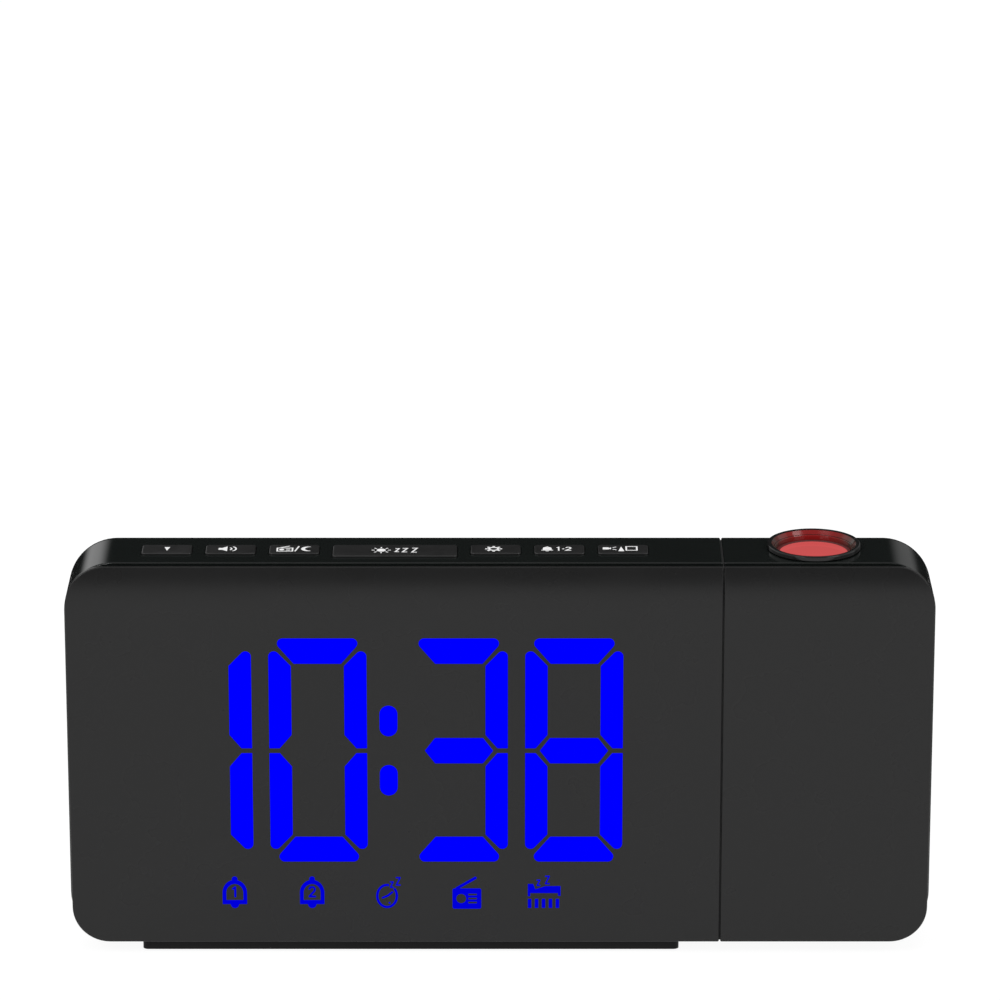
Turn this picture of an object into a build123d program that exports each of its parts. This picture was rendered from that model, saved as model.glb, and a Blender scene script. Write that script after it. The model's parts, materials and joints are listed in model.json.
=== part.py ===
from build123d import *
import math
import os

# A projection alarm clock: a wide display case on a foot, with a projector head that turns on a hollow
# hub at its right end. Millimetres. +X is to the viewer's right, +Y goes back from the face and +Z is up.
# The origin is on the surface that the clock stands on, under the middle of its bounding box.

# ---------------------------------------------------------------- driving sizes
# Whole clock
overall_width = 189.0
overall_depth = 38.0
body_height = 87.2
body_depth = 25.0
head_width = 46.1  # from the seam's middle to the right end
seam_gap = 0.3  # running gap between the case and the head

# Shells
wall = 2.0
end_wall = 2.5  # the two walls that face each other at the seam
corner_radius = 10.8
rear_edge_radius = 5.5
front_edge_radius = 0.25
seam_edge_radius = 0.3
contact_fit = 0.05  # clearance of a fixed piece in its seat
running_fit = 0.05  # radial clearance of a turning or sliding piece
part_gap = 0.2  # clearance round a loose-fitting piece

# Front covers
cover_thickness = 2.2
cover_step = 0.5  # the cover is this much smaller than the shell, at its top and sides
cover_bottom_step = 0.15
cover_corner_radius = 8.2
cover_edge_radius = 0.25
crown_height = 9.0  # the face leans back over this height below its top edge
crown_depth = 1.4
groove_width = 0.8  # dark groove between the cover and the shell
groove_depth = 1.0
neck_width = 2.0

# Long screws that hold each front cover to its shell, in posts that meet inside
post_radius = 3.2
post_inset = 8.0  # of a post's axis from the outside
post_end_gap = 0.5  # between a post and the wall at the seam
post_meet_depth = 10.5  # where the posts of cover and shell meet, behind the face
spigot_radius = 1.9
spigot_height = 0.8
screw_radius = 1.1
screw_length = 8.0
screw_seat = 3.0  # thickness of the shell's post under the screw head
screw_head_radius = 2.2
screw_head_height = 1.1
drive_radius = 0.9
drive_depth = 0.6

# Foot
foot_left_inset = 15.7  # from the left end of the case
foot_right_inset = 8.9  # from the seam
foot_front_inset = 2.1  # from the face
foot_thickness = 2.4
foot_corner_radius = 1.2
heel_height = 12.0  # how far the foot's ramp climbs behind the case
heel_inset = 6.0
heel_pockets = 5
heel_rib = 1.8
pad_radius = 4.0
pad_thickness = 1.2
pad_proud = 0.5
pad_inset = 8.0
foot_screw_count = 3
foot_screw_inset = 22.0
foot_screw_behind_face = 14.5
foot_screw_length = 6.6
foot_post_height = 5.0
screw_sink = 0.3  # a foot screw's head lies this far below the surface

# Seven-segment digits
digit_width = 21.3
digit_height = 51.8
digit_pitch = 25.05
colon_pitch = 30.7  # pitch of the two digits beside the colon
digits_shift_x = -1.45  # from the middle of the case
digits_shift_z = 1.4
upright_width = 4.9
bar_width = 5.85
bar_tip_gap = 0.55
bar_mitre_run = 4.95
upright_tip_drop = 1.15
upright_mitre_rise = 5.2
waist_gap = 0.55  # half the gap between the upper and lower uprights
waist_foot = 2.3
waist_rise = 3.65
middle_bar_half_width = 7.46
middle_bar_flat_width = 5.24
middle_bar_rise = 2.95
tip_radius = 1.2
colon_width = 3.9
colon_height = 7.1
colon_spacing = 13.75
time_shown = "1038"
segment_fit = 0.03
segment_skin_thickness = 0.5  # left in front of the segments that stay dark

# Indicator icons
icon_height_above_bottom = 11.8
icon_spacing = 17.0
icon_first_shift_x = -35.45  # of the first icon from the middle of the case
icon_depth = 0.6
icon_reach = 4.6  # of an icon's light well above and below the row's middle
icon_well_width = 7.6
bell_half_width = 2.68
bell_rise = 3.0  # of the dome above the row's middle
bell_foot = 2.7  # of the bell below it
bell_side_line = 0.8
bell_foot_line = 0.95
bell_clapper_radius = 0.93
bell_knob_radius = 0.62
bell_knob_lift = 3.2
number_lift = 0.2
number_one = ((-0.4, 0.7), (0.1, 1.1), (0.1, -1.1))
number_two = ((-0.6, 0.7), (-0.3, 1.1), (0.3, 1.1), (0.6, 0.7), (0.55, 0.25), (-0.6, -1.1), (0.65, -1.1))
fine_line = 0.43  # strokes inside an icon
zigzag_line = 0.3
zigzag_width = 0.57
zigzag_height = 1.25
zigzag_growth = 1.4  # of the second zigzag over the first
zigzag_notch = 0.35  # clear space round the zigzag that breaks the dial's rim
dial_half_width = 2.4
dial_half_height = 2.85
dial_line = 0.5
dial_centre = (-0.54, -0.79)
dial_hands = ((-1.5, -1.2), (-0.35, -0.7), (0.6, 0.1))
dial_mark = (0.0, -2.4)
dial_zigzags = ((0.51, 1.89), (1.93, 2.65))
radio_width = 6.3
radio_height = 4.8
radio_drop = 1.4  # of the radio's middle below the row's middle
radio_corner_radius = 0.4
radio_antenna = ((-2.2, 1.0), (1.85, 3.45))
radio_antenna_line = 0.62
radio_cone_radius = 1.1
radio_cone_x = -1.25
radio_slit_x = 1.25
radio_slit_width = 1.9
radio_slit_pitch = 0.95
bed_outline = ((-3.6, -0.85), (-3.6, 2.05), (-2.45, 2.05), (-1.95, 0.8), (0.3, 1.55), (3.58, 1.55),
               (3.58, -0.75), (3.02, -0.75), (3.02, -0.1), (-3.08, -0.1), (-3.08, -0.85))
bed_zigzags = ((-1.27, 2.31), (0.68, 2.98))
dash_width = 0.75
dash_height = 2.15
dash_pitch = 1.53
dash_first_x = -3.21
dash_drop = 2.53  # of the dashes below the row's middle
dash_count = 5

# Display stack
reflector_depth = 7.2
reflector_margin = 2.0
reflector_skirt = 1.0
board_thickness = 1.4
board_margin = 4.0
display_screw_inset = 4.0
board_screw_radius = 0.9
board_screw_length = 5.0
board_screw_head_radius = 1.7
board_screw_head_height = 0.9
board_drive_radius = 0.7
board_post_radius = 2.0
led_length = 1.8
led_width = 1.0
led_height = 0.8

# Main board and what it carries
board_gap = 3.6  # between the display board and the main board
main_board_left_reach = 29.2  # of the board from the middle of the case
main_board_right_reach = 56.8
main_board_bottom = 6.0  # above the inside of the case
main_board_height = 63.0
main_board_post_inset = 3.3
chip_places = ((18.0, 43.6, 12.0, 1.6), (32.0, 26.6, 8.0, 1.4), (40.0, 53.6, 6.0, 3.0))  # x, z, side, height
can_places = ((12.0, 21.6), (44.0, 27.6), (38.0, 40.6))  # x and z from the board's corner
can_radius = 2.5
can_height = 5.5
jack_size = 9.0
jack_barrel_radius = 4.0
jack_bore_radius = 2.8
jack_pin_radius = 1.0
jack_depth = 6.8
jack_shift_x = -15.2  # from the middle of the case, as for the other sockets and the cell
socket_height = 20.0  # of the jack and the charging socket above the case's bottom
usb_width = 13.1
usb_height = 5.7
usb_wall = 0.35
usb_corner_radius = 0.8
usb_tongue_width = 11.2
usb_tongue_height = 1.8
usb_shift_x = 4.8
grommet_shift_x = 24.8
grommet_radius = 2.4
grommet_flange_radius = 3.4
grommet_flange = 0.8
grommet_bore = 1.0

# Loudspeaker
speaker_radius = 14.0
speaker_ring = 2.0  # width of the basket's rim
speaker_rim_height = 2.2
speaker_depth = 7.0
magnet_radius = 8.0
magnet_height = 2.0
basket_wall = 1.2
cone_thickness = 0.4
cone_depth = 2.2
cone_centre_radius = 3.0
speaker_inset = 25.0  # of the loudspeaker's axis from the left end of the case
speaker_rib = 1.2
grille_hole_radius = 0.8
grille_ring_pitch = 2.7
grille_rings = 4

# Backup coin cell
cell_radius = 10.0
cell_thickness = 3.2
bay_shift_x = 34.8
bay_margin = 1.6
bay_floor = 1.2
bay_wall = 1.2
bay_corner_radius = 1.5
door_thickness = 1.4
door_ledge = 1.6
door_corner_radius = 2.0
door_tab_width = 6.0
door_tab_length = 2.0
door_tab_thickness = 0.8
grip_radius = 4.0
grip_depth = 0.6
contact_thickness = 0.3
contact_width = 5.0
contact_leg = 1.2

# Keys, from left to right, about the middle of the case
key_row_behind_face = 11.3
key_length = 10.85
snooze_length = 27.0
key_depth = 6.0
snooze_depth = 7.8
key_proud = 0.4
key_pitch = 13.85
snooze_pitch = 21.9
key_corner_radius = 0.8
key_edge_radius = 0.25
key_gap = 0.15
key_flange = 0.8
key_flange_height = 0.8
key_rest_gap = 0.1
key_stem_radius = 1.5
key_stem_length = 3.2
switch_size = 6.0
switch_height = 3.5
plunger_radius = 1.7
plunger_height = 0.8
plunger_seat = 0.9
plunger_well = 1.6
button_board_overhang = 1.5
button_post_radius = 1.5
button_post_reach = 5.45  # from the row's middle
button_screw_radius = 0.7
button_screw_head_radius = 1.4
key_names = ("down", "volume", "radio", "snooze", "set", "alarm", "project")

# Hub that the head turns on
hub_radius = 5.0
hub_bore = 3.2
hub_plate_depth = 14.0
hub_plate_height = 28.0
hub_plate_thickness = 2.0
hub_reach = 7.0  # into the case, past the inside of its end wall
bush_wall = 1.15
bush_flange_radius = 7.6
bush_flange_thickness = 1.0
hub_screw_spacing = 21.0
hub_screw_length = 3.6
clip_thickness = 0.8
clip_outer_radius = 7.2
clip_groove_depth = 0.8
clip_opening = 60.0
washer_outer_radius = 7.0
washer_thickness = 0.35
washer_height = 0.8
stop_radius = 7.4
stop_pin_radius = 0.7
stop_pin_reach = 1.0
stop_groove_depth = 1.2
stop_groove_fit = 0.15
head_turn = 90.0  # to each side of upright, in degrees

# Projector
lens_axis_from_seam = 20.0
lens_axis_behind_face = 13.3
ring_radius = 10.15
ring_proud = 1.3
ring_lift = 0.25  # gap under the ring's flange
ring_round = 0.3
ring_mouth_radius = 9.2
ring_dish = 0.2  # the ring's top falls this much towards its mouth
ring_throat_radius = 8.5
ring_throat_depth = 1.3
ring_skirt_radius = 8.6
ring_skirt_bore = 8.15
ring_skirt_length = 6.0
ring_bead_radius = 8.85
ring_bead_height = 1.2
collar_inset = 0.3  # of the raised seat under the ring
collar_depth = 3.0
carrier_radius = 8.1
carrier_bore = 7.5
carrier_top_drop = 2.1  # below the ring's top
carrier_length = 9.0
carrier_floor = 1.0
carrier_aperture = 5.3
carrier_ledge = 0.6
carrier_ledge_height = 0.8
bezel_slope = 0.15
focus_travel = 0.7
guide_pin_radius = 0.6
guide_pin_place = 6.6
guide_pin_margin = 0.6
lens_edge = 1.6
lens_bulge = 0.8
lens_edge_drop = 0.2  # of the lens's edge below the carrier's top
tube_bore = 8.95
tube_radius = 9.5
tube_floor = 1.2
tube_length = 12.5
frame_width = 19.0
frame_depth = 16.4
frame_wall = 1.3
frame_shelf = 1.2
frame_aperture = 5.3
led_shelf_height = 33.0  # of the shelves above the inside of the head's bottom
condenser_shelf_height = 44.0
lcd_shelf_height = 54.0
frame_screw_heights = (50.0, 64.0)
led_board_thickness = 1.2
led_board_gap = 0.45  # to the heads of the hub's screws
led_screw_post_radius = 1.8
led_screw_post_height = 3.2
led_screw_reach = 6.0
projector_led_radius = 2.5
projector_led_height = 5.0
condenser_radius = 6.7
condenser_edge = 1.6
condenser_bulge = 2.4
lcd_size = 13.4
lcd_thickness = 1.1
harness_radius = 1.1
harness_bend = 2.6
plug_inset = 0.3  # of the plug from the LED board's left edge
plug_size = 2.4


same_place = 0.01  # coordinates this close are the same

# ---------------------------------------------------------------- places that follow
face_y = -overall_depth / 2
back_y = face_y + body_depth
axis_y = (face_y + back_y) / 2
cover_back_y = face_y + cover_thickness
shell_front_y = cover_back_y + groove_width
rear_inside_y = back_y - wall
post_meet_y = face_y + post_meet_depth

bottom_z = foot_thickness + pad_proud
top_z = bottom_z + body_height
axis_z = (bottom_z + top_z) / 2
inside_bottom_z = bottom_z + wall
inside_top_z = top_z - wall

half_width = overall_width / 2
cover_half_width = half_width - cover_step
seam_x = half_width - head_width
case_right = seam_x - seam_gap / 2
head_left = seam_x + seam_gap / 2
case_middle_x = (seam_x - cover_half_width) / 2
jack_x = case_middle_x + jack_shift_x
usb_x = case_middle_x + usb_shift_x
grommet_x = case_middle_x + grommet_shift_x
bay_x = case_middle_x + bay_shift_x
speaker_x = -cover_half_width + speaker_inset
end_wall_in_case = case_right - end_wall
end_wall_in_head = head_left + end_wall

display_board_y = cover_back_y + reflector_depth
main_board_y = display_board_y + board_thickness + board_gap
main_board_back_y = main_board_y + board_thickness
main_board_low = inside_bottom_z + main_board_bottom
main_board_high = main_board_low + main_board_height
main_board_left = case_middle_x - main_board_left_reach
main_board_right = case_middle_x + main_board_right_reach

digits_x = case_middle_x + digits_shift_x
digits_z = axis_z + digits_shift_z
digit_centres = [digits_x + side * (colon_pitch / 2 + outer * digit_pitch)
                 for side, outer in ((-1, 1), (-1, 0), (1, 0), (1, 1))]
icon_z = bottom_z + icon_height_above_bottom
icon_centres = [case_middle_x + icon_first_shift_x + icon_spacing * i for i in range(5)]

reflector_left = digit_centres[0] - digit_width / 2 - reflector_margin
reflector_right = digit_centres[-1] + digit_width / 2 + reflector_margin
reflector_top = digits_z + digit_height / 2 + reflector_margin
reflector_bottom = icon_z - icon_reach - reflector_skirt

key_y = face_y + key_row_behind_face
key_steps = (-snooze_pitch - 2 * key_pitch, -snooze_pitch - key_pitch, -snooze_pitch, 0.0,
             snooze_pitch, snooze_pitch + key_pitch, snooze_pitch + 2 * key_pitch)
key_centres = [case_middle_x + step for step in key_steps]
key_sizes = [(snooze_length, snooze_depth) if name == "snooze" else (key_length, key_depth)
             for name in key_names]
key_flange_top = inside_top_z - key_rest_gap
stem_bottom_z = key_flange_top - key_flange_height - key_stem_length
switch_top_z = stem_bottom_z - plunger_height
button_board_top = switch_top_z - switch_height
button_board_left = key_centres[0] - key_length / 2 - button_board_overhang
button_board_right = key_centres[-1] + key_length / 2 + button_board_overhang
button_board_half = button_post_reach + button_post_radius + contact_fit

speaker_rim_y = rear_inside_y - speaker_rim_height
socket_z = bottom_z + socket_height
bay_z = axis_z
bay_half = cell_radius + bay_margin
bay_floor_y = rear_inside_y - cell_thickness - contact_thickness - part_gap
door_half = bay_half + door_ledge
door_y = back_y - door_thickness

lens_axis_x = seam_x + lens_axis_from_seam
lens_y = face_y + lens_axis_behind_face
lens_place = (lens_axis_x, lens_y)
ring_top_z = top_z + ring_proud
ring_skirt_bottom = top_z - ring_skirt_length
bead_top_z = ring_skirt_bottom + ring_bead_height
carrier_top_z = ring_top_z - carrier_top_drop
carrier_bottom_z = carrier_top_z - carrier_length
tube_bottom_z = inside_top_z - tube_length
led_shelf_z = inside_bottom_z + led_shelf_height
condenser_shelf_z = inside_bottom_z + condenser_shelf_height
lcd_shelf_z = inside_bottom_z + lcd_shelf_height
led_board_top = led_shelf_z - frame_shelf

bush_radius = hub_radius + running_fit + bush_wall
hub_end_x = end_wall_in_case - hub_reach
bush_flange_x = end_wall_in_case - bush_flange_thickness
washer_x = bush_flange_x - running_fit - washer_height
clip_x = washer_x - clip_thickness
hub_plate_x = end_wall_in_head + hub_plate_thickness
led_board_left = hub_plate_x + board_screw_head_height + led_board_gap
harness_drop_x = led_board_left + plug_inset + plug_size / 2


# ---------------------------------------------------------------- helpers
def along_y(sketch, front, back):
    """A sketch drawn in (x, z), made solid from y = front to y = back."""
    return extrude(Plane.XZ.offset(-front) * sketch, -(back - front))


def along_x(sketch, left, right):
    """A sketch drawn in (y, z), made solid from x = left to x = right."""
    return extrude(Plane.YZ.offset(left) * sketch, right - left)


def along_z(sketch, low, high):
    """A sketch drawn in (x, y), made solid from z = low to z = high."""
    return extrude(Plane.XY.offset(low) * sketch, high - low)


def rod(radius, centre, direction, start, end):
    """A cylinder along an axis from start to end. The centre gives the other two coordinates."""
    disc = Pos(*centre) * Circle(radius)
    return {"x": along_x, "y": along_y, "z": along_z}[direction](disc, start, end)


def block(low, high):
    """A box between two corners."""
    size = [h - l for l, h in zip(low, high)]
    middle = [(h + l) / 2 for l, h in zip(low, high)]
    return Pos(*middle) * Box(*size)


def group(shapes):
    """Separate pieces kept as one group."""
    return Compound(children=[s for shape in shapes for s in shape.solids()])


def panel(left, right, bottom, top, radius, rounded_end):
    """A rectangle in (x, z) with two round corners at its left or right end."""
    plate = Pos((left + right) / 2, (bottom + top) / 2) * Rectangle(right - left, top - bottom)
    return fillet(plate.vertices().group_by(Axis.X)[0 if rounded_end == "left" else -1], radius)


def section_outline(end, inset, seam_inset):
    """The outline of the case (end "left") or the head (end "right"), moved in from the shell's outside."""
    side = half_width - inset
    left, right = (-side, case_right - seam_inset) if end == "left" else (head_left + seam_inset, side)
    return panel(left, right, bottom_z + inset, top_z - inset, corner_radius - inset, end)


def cover_outline(end):
    left, right = (-cover_half_width, case_right) if end == "left" else (head_left, cover_half_width)
    outline = panel(left, right, bottom_z + cover_bottom_step, top_z - cover_step, cover_corner_radius,
                    end)
    return fillet(outline.vertices().group_by(Axis.X)[-1 if end == "left" else 0], seam_edge_radius)


def post_places(end):
    """The four screw posts of a section, as (x, z)."""
    sign = -1 if end == "left" else 1
    reach = (corner_radius - post_inset) / math.sqrt(2)
    outer_x = sign * (half_width - corner_radius + reach)
    outer_drop = corner_radius - reach
    seam_wall_x = end_wall_in_case if end == "left" else end_wall_in_head
    inner_x = seam_wall_x + sign * (post_radius + post_end_gap)
    return [(outer_x, top_z - outer_drop), (outer_x, bottom_z + outer_drop),
            (inner_x, top_z - post_inset), (inner_x, bottom_z + post_inset)]


def screw(radius, length, head_radius, head_height, drive):
    """A pan-head screw that points down, with the underside of its head at the origin."""
    depth = min(drive_depth, head_height * 0.7)
    body = Pos(0, 0, -length / 2) * Cylinder(radius, length)
    head = Pos(0, 0, head_height / 2) * Cylinder(head_radius, head_height)
    cross = Box(2 * drive, drive / 2, 2 * depth) + Box(drive / 2, 2 * drive, 2 * depth)
    return body + head - Pos(0, 0, head_height) * cross


def board_screw(length=board_screw_length):
    return screw(board_screw_radius, length, board_screw_head_radius, board_screw_head_height,
                 board_drive_radius)


# ---------------------------------------------------------------- shells and covers
def on_seam(edge, end):
    """Whether an edge lies in the plane of the seam."""
    x = case_right if end == "left" else head_left
    box = edge.bounding_box()
    return abs(box.min.X - x) < same_place and abs(box.max.X - x) < same_place


def back_rim(solid, end, y):
    """The edges round the back of a solid, without the one at the seam's side."""
    return [e for e in solid.edges()
            if e.bounding_box().min.Y > y - same_place and not seam_side(e, end)]


def seam_side(edge, end):
    """Whether an edge runs up the seam's side of a section."""
    box = edge.bounding_box()
    if end == "left":
        return box.min.X > end_wall_in_case - same_place
    return box.max.X < end_wall_in_head + same_place


def shell(end):
    """The tub of a section, open at its front, with posts for the long screws on its back wall."""
    body = along_y(section_outline(end, 0, 0), shell_front_y, back_y)
    body = fillet(back_rim(body, end, back_y), rear_edge_radius)
    front_rim = [e for e in body.edges() if e.bounding_box().max.Y < shell_front_y + same_place
                 and not on_seam(e, end)]
    body = fillet(front_rim, front_edge_radius)
    body = fillet([e for e in body.edges() if on_seam(e, end) and e.center().Y > shell_front_y + same_place],
                  seam_edge_radius)
    hollow = along_y(section_outline(end, wall, end_wall), shell_front_y, rear_inside_y)
    hollow = fillet(back_rim(hollow, end, rear_inside_y), rear_edge_radius - wall)
    body -= hollow
    for place in post_places(end):
        body += rod(post_radius, place, "y", post_meet_y, rear_inside_y + wall / 2)
        body -= rod(spigot_radius + contact_fit, place, "y", post_meet_y,
                    post_meet_y + spigot_height + contact_fit)
        body -= rod(screw_radius + part_gap, place, "y", post_meet_y, back_y)
        body -= rod(screw_head_radius + part_gap, place, "y", post_meet_y + screw_seat, back_y)
    return body


def crown_waste():
    """What is cut from a flat cover so that its face leans back below the top edge."""
    radius = (crown_height**2 + crown_depth**2) / (2 * crown_depth)
    top = top_z - cover_step
    start = (face_y, top - crown_height)
    finish = (face_y + crown_depth, top)
    half = crown_height / 2
    middle = (face_y + radius - math.sqrt(radius**2 - half**2), start[1] + half)
    ahead = (face_y - wall, start[1])
    outline = Curve() + [
        ThreePointArc(start, middle, finish), Line(finish, (finish[0], top + wall)),
        Line((finish[0], top + wall), (ahead[0], top + wall)), Line((ahead[0], top + wall), ahead),
        Line(ahead, start),
    ]
    return along_x(make_face(outline), -overall_width, overall_width)


def front_cover(end):
    """The flat face of a section, crowned at its top, with the neck that makes the groove and four posts."""
    plate = along_y(cover_outline(end), face_y, cover_back_y) - crown_waste()
    crown_start_z = top_z - cover_step - crown_height
    rim = [e for e in plate.edges() if e.bounding_box().max.Y < cover_back_y - same_place
           and (abs(e.bounding_box().min.Z - crown_start_z) > same_place
                or abs(e.bounding_box().max.Z - crown_start_z) > same_place)]
    plate = fillet(rim, cover_edge_radius)
    neck = section_outline(end, groove_depth, 0)
    hollow = section_outline(end, groove_depth + neck_width, end_wall)
    plate += along_y(neck, cover_back_y, shell_front_y) - along_y(hollow, cover_back_y, shell_front_y)
    for place in post_places(end):
        plate += rod(post_radius, place, "y", cover_back_y, post_meet_y)
        plate += rod(spigot_radius, place, "y", post_meet_y, post_meet_y + spigot_height)
        plate -= rod(screw_radius + contact_fit, place, "y",
                     post_meet_y + screw_seat - screw_length - part_gap, post_meet_y + spigot_height)
    return plate


def long_screws(end):
    one = screw(screw_radius, screw_length, screw_head_radius, screw_head_height, drive_radius)
    return group([Pos(x, post_meet_y + screw_seat, z) * Rot(-90, 0, 0) * one for x, z in post_places(end)])


# ---------------------------------------------------------------- display
def digit_segments():
    """The seven segments of a digit centred on the origin, named as usual from a, the top bar, round to g."""
    half_w, half_h = digit_width / 2, digit_height / 2
    tip = half_w - bar_tip_gap
    root = tip - bar_mitre_run
    top_bar = make_face(Polyline((-tip, half_h), (tip, half_h), (root, half_h - bar_width),
                                 (-root, half_h - bar_width), close=True))
    top_bar = fillet(top_bar.vertices().group_by(Axis.Y)[-1], tip_radius)
    drop = half_h - upright_tip_drop
    inner = half_w - upright_width
    upright = make_face(Polyline((half_w, drop), (half_w, waist_gap), (half_w - waist_foot, waist_gap),
                                 (inner, waist_rise), (inner, drop - upright_mitre_rise), close=True))
    upright = fillet(upright.vertices().group_by(Axis.Y)[-1], tip_radius)
    flat, rise, half = middle_bar_flat_width, middle_bar_rise, middle_bar_half_width
    middle_bar = make_face(Polyline((-half, 0), (-flat, rise), (flat, rise), (half, 0), (flat, -rise),
                                    (-flat, -rise), close=True))
    half_turn = Rot(0, 0, 180)
    return {"a": top_bar, "b": upright, "c": mirror(upright, Plane.XZ), "d": half_turn * top_bar,
            "e": half_turn * upright, "f": mirror(upright, Plane.YZ), "g": middle_bar}


lit_by_digit = {"0": "abcdef", "1": "bc", "2": "abged", "3": "abcdg", "4": "bcfg",
                "5": "acdfg", "6": "acdefg", "7": "abc", "8": "abcdefg", "9": "abcdfg"}


def placed_segments(lit):
    """The outlines of all segments that are lit, with the colon, or of those that are dark."""
    found = [Pos(x, digits_z) * shape for digit, x in zip(time_shown, digit_centres)
             for name, shape in digit_segments().items() if (name in lit_by_digit[digit]) == lit]
    if lit:
        dot = Rot(0, 0, 90) * SlotOverall(colon_height, colon_width)
        found += [Pos(digits_x, digits_z + side * colon_spacing / 2) * dot for side in (-1, 1)]
    return found


def segment_front_y(lit):
    """Where a segment's cut-out starts: at the face if it is lit, else behind a skin that hides it."""
    return face_y if lit else face_y + segment_skin_thickness


def segment_diffusers(lit):
    """Diffuser blocks that fill the cover's cut-outs."""
    return group([along_y(offset(outline, -segment_fit, kind=Kind.INTERSECTION), segment_front_y(lit),
                          cover_back_y) for outline in placed_segments(lit)])


def strokes(points, thickness):
    """A thin line with round ends and corners through points."""
    joined = Pos(*points[0]) * Circle(thickness / 2)
    for p, q in zip(points, points[1:]):
        angle = math.degrees(math.atan2(q[1] - p[1], q[0] - p[0]))
        middle = Pos((p[0] + q[0]) / 2, (p[1] + q[1]) / 2)
        joined += middle * Rot(0, 0, angle) * Rectangle(math.dist(p, q), thickness)
        joined += Pos(*q) * Circle(thickness / 2)
    return joined


def arch(half_width, rise, foot):
    """A flat-footed arch with an elliptic top, sprung from the origin."""
    dome = Ellipse(half_width, rise) & Pos(0, rise / 2) * Rectangle(2 * half_width, rise)
    return dome + Pos(0, -foot / 2) * Rectangle(2 * half_width, foot)


def bell_icon(number):
    """A bell outline with a number in it."""
    bell = arch(bell_half_width, bell_rise, bell_foot)
    bell -= arch(bell_half_width - bell_side_line, bell_rise - bell_foot_line, bell_foot - bell_foot_line)
    bell += Pos(0, -bell_foot) * Circle(bell_clapper_radius)
    bell += Pos(0, bell_knob_lift) * Circle(bell_knob_radius)
    return [bell, Pos(0, number_lift) * strokes(number, fine_line)]


def zigzags(places):
    """Two zigzags, the second larger."""
    shapes = []
    for (x, z), growth in zip(places, (1, zigzag_growth)):
        right, top = zigzag_width / 2 * growth, zigzag_height / 2 * growth
        corners = [(x - right, z + top), (x + right, z + top), (x - right, z - top), (x + right, z - top)]
        shapes.append(strokes(corners, zigzag_line))
    return shapes


def dial_icon():
    """A clock dial, taller than wide, its rim broken by the first of two zigzags."""
    rim = Ellipse(dial_half_width, dial_half_height)
    rim -= Ellipse(dial_half_width - dial_line, dial_half_height - dial_line)
    notch = Rectangle(zigzag_width + zigzag_line + zigzag_notch, zigzag_height + zigzag_line + zigzag_notch)
    rim = Pos(*dial_centre) * rim - Pos(*dial_zigzags[0]) * notch
    return [rim, strokes(dial_hands, fine_line), Pos(*dial_mark) * Circle(fine_line / 2),
            *zigzags(dial_zigzags)]


def radio_icon():
    """A portable radio with a round loudspeaker, three slits and an aerial."""
    body = Pos(0, -radio_drop) * RectangleRounded(radio_width, radio_height, radio_corner_radius)
    body -= Pos(radio_cone_x, -radio_drop) * Circle(radio_cone_radius)
    for row in (-1, 0, 1):
        body -= (Pos(radio_slit_x, row * radio_slit_pitch - radio_drop)
                 * Rectangle(radio_slit_width, fine_line))
    return [body + strokes(radio_antenna, radio_antenna_line)]


def bed_icon():
    """A bed with two zigzags above it and a row of dashes below."""
    bed = make_face(Polyline(*bed_outline, close=True))
    dashes = [Pos(dash_first_x + i * dash_pitch, -dash_drop) * Rectangle(dash_width, dash_height)
              for i in range(dash_count)]
    return [bed, *zigzags(bed_zigzags), *dashes]


def icon_outlines():
    """The outlines of all indicator icons, in the case's (x, z)."""
    icons = [bell_icon(number_one), bell_icon(number_two), dial_icon(), radio_icon(), bed_icon()]
    return [Pos(x, icon_z) * shape for x, icon in zip(icon_centres, icons) for shape in icon]


def indicator_icons():
    return group([along_y(outline, face_y, face_y + icon_depth) for outline in icon_outlines()])


def display_screw_places():
    inset = board_margin / 2
    return [(x, z) for x in (reflector_left - inset, reflector_right + inset)
            for z in (reflector_bottom + display_screw_inset, reflector_top - display_screw_inset)]


def display_cover():
    """The case's cover, cut for the segments and icons, with short posts for the display board."""
    cover = front_cover("left")
    for lit in (True, False):
        for outline in placed_segments(lit):
            cover -= along_y(outline, segment_front_y(lit), cover_back_y)
    for outline in icon_outlines():
        cover -= along_y(outline, face_y, face_y + icon_depth)
    for place in display_screw_places():
        cover += rod(board_post_radius, place, "y", cover_back_y, display_board_y)
        cover -= rod(board_screw_radius + contact_fit, place, "y",
                     display_board_y + board_thickness - board_screw_length - part_gap, display_board_y)
    return cover


def reflector_block():
    """The white block of light wells between the cover and the display board."""
    body = block((reflector_left, cover_back_y, reflector_bottom),
                 (reflector_right, display_board_y, reflector_top))
    for outline in placed_segments(True) + placed_segments(False):
        body -= along_y(outline, cover_back_y, display_board_y)
    for x in icon_centres:
        well = Pos(x, icon_z) * Rectangle(icon_well_width, 2 * icon_reach - reflector_skirt)
        body -= along_y(well, cover_back_y, display_board_y)
    return body


def display_board():
    body = block((reflector_left - board_margin, display_board_y, reflector_bottom),
                 (reflector_right + board_margin, display_board_y + board_thickness, reflector_top))
    for place in display_screw_places():
        body -= rod(board_screw_radius + part_gap, place, "y", display_board_y,
                    display_board_y + board_thickness)
    return body


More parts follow.
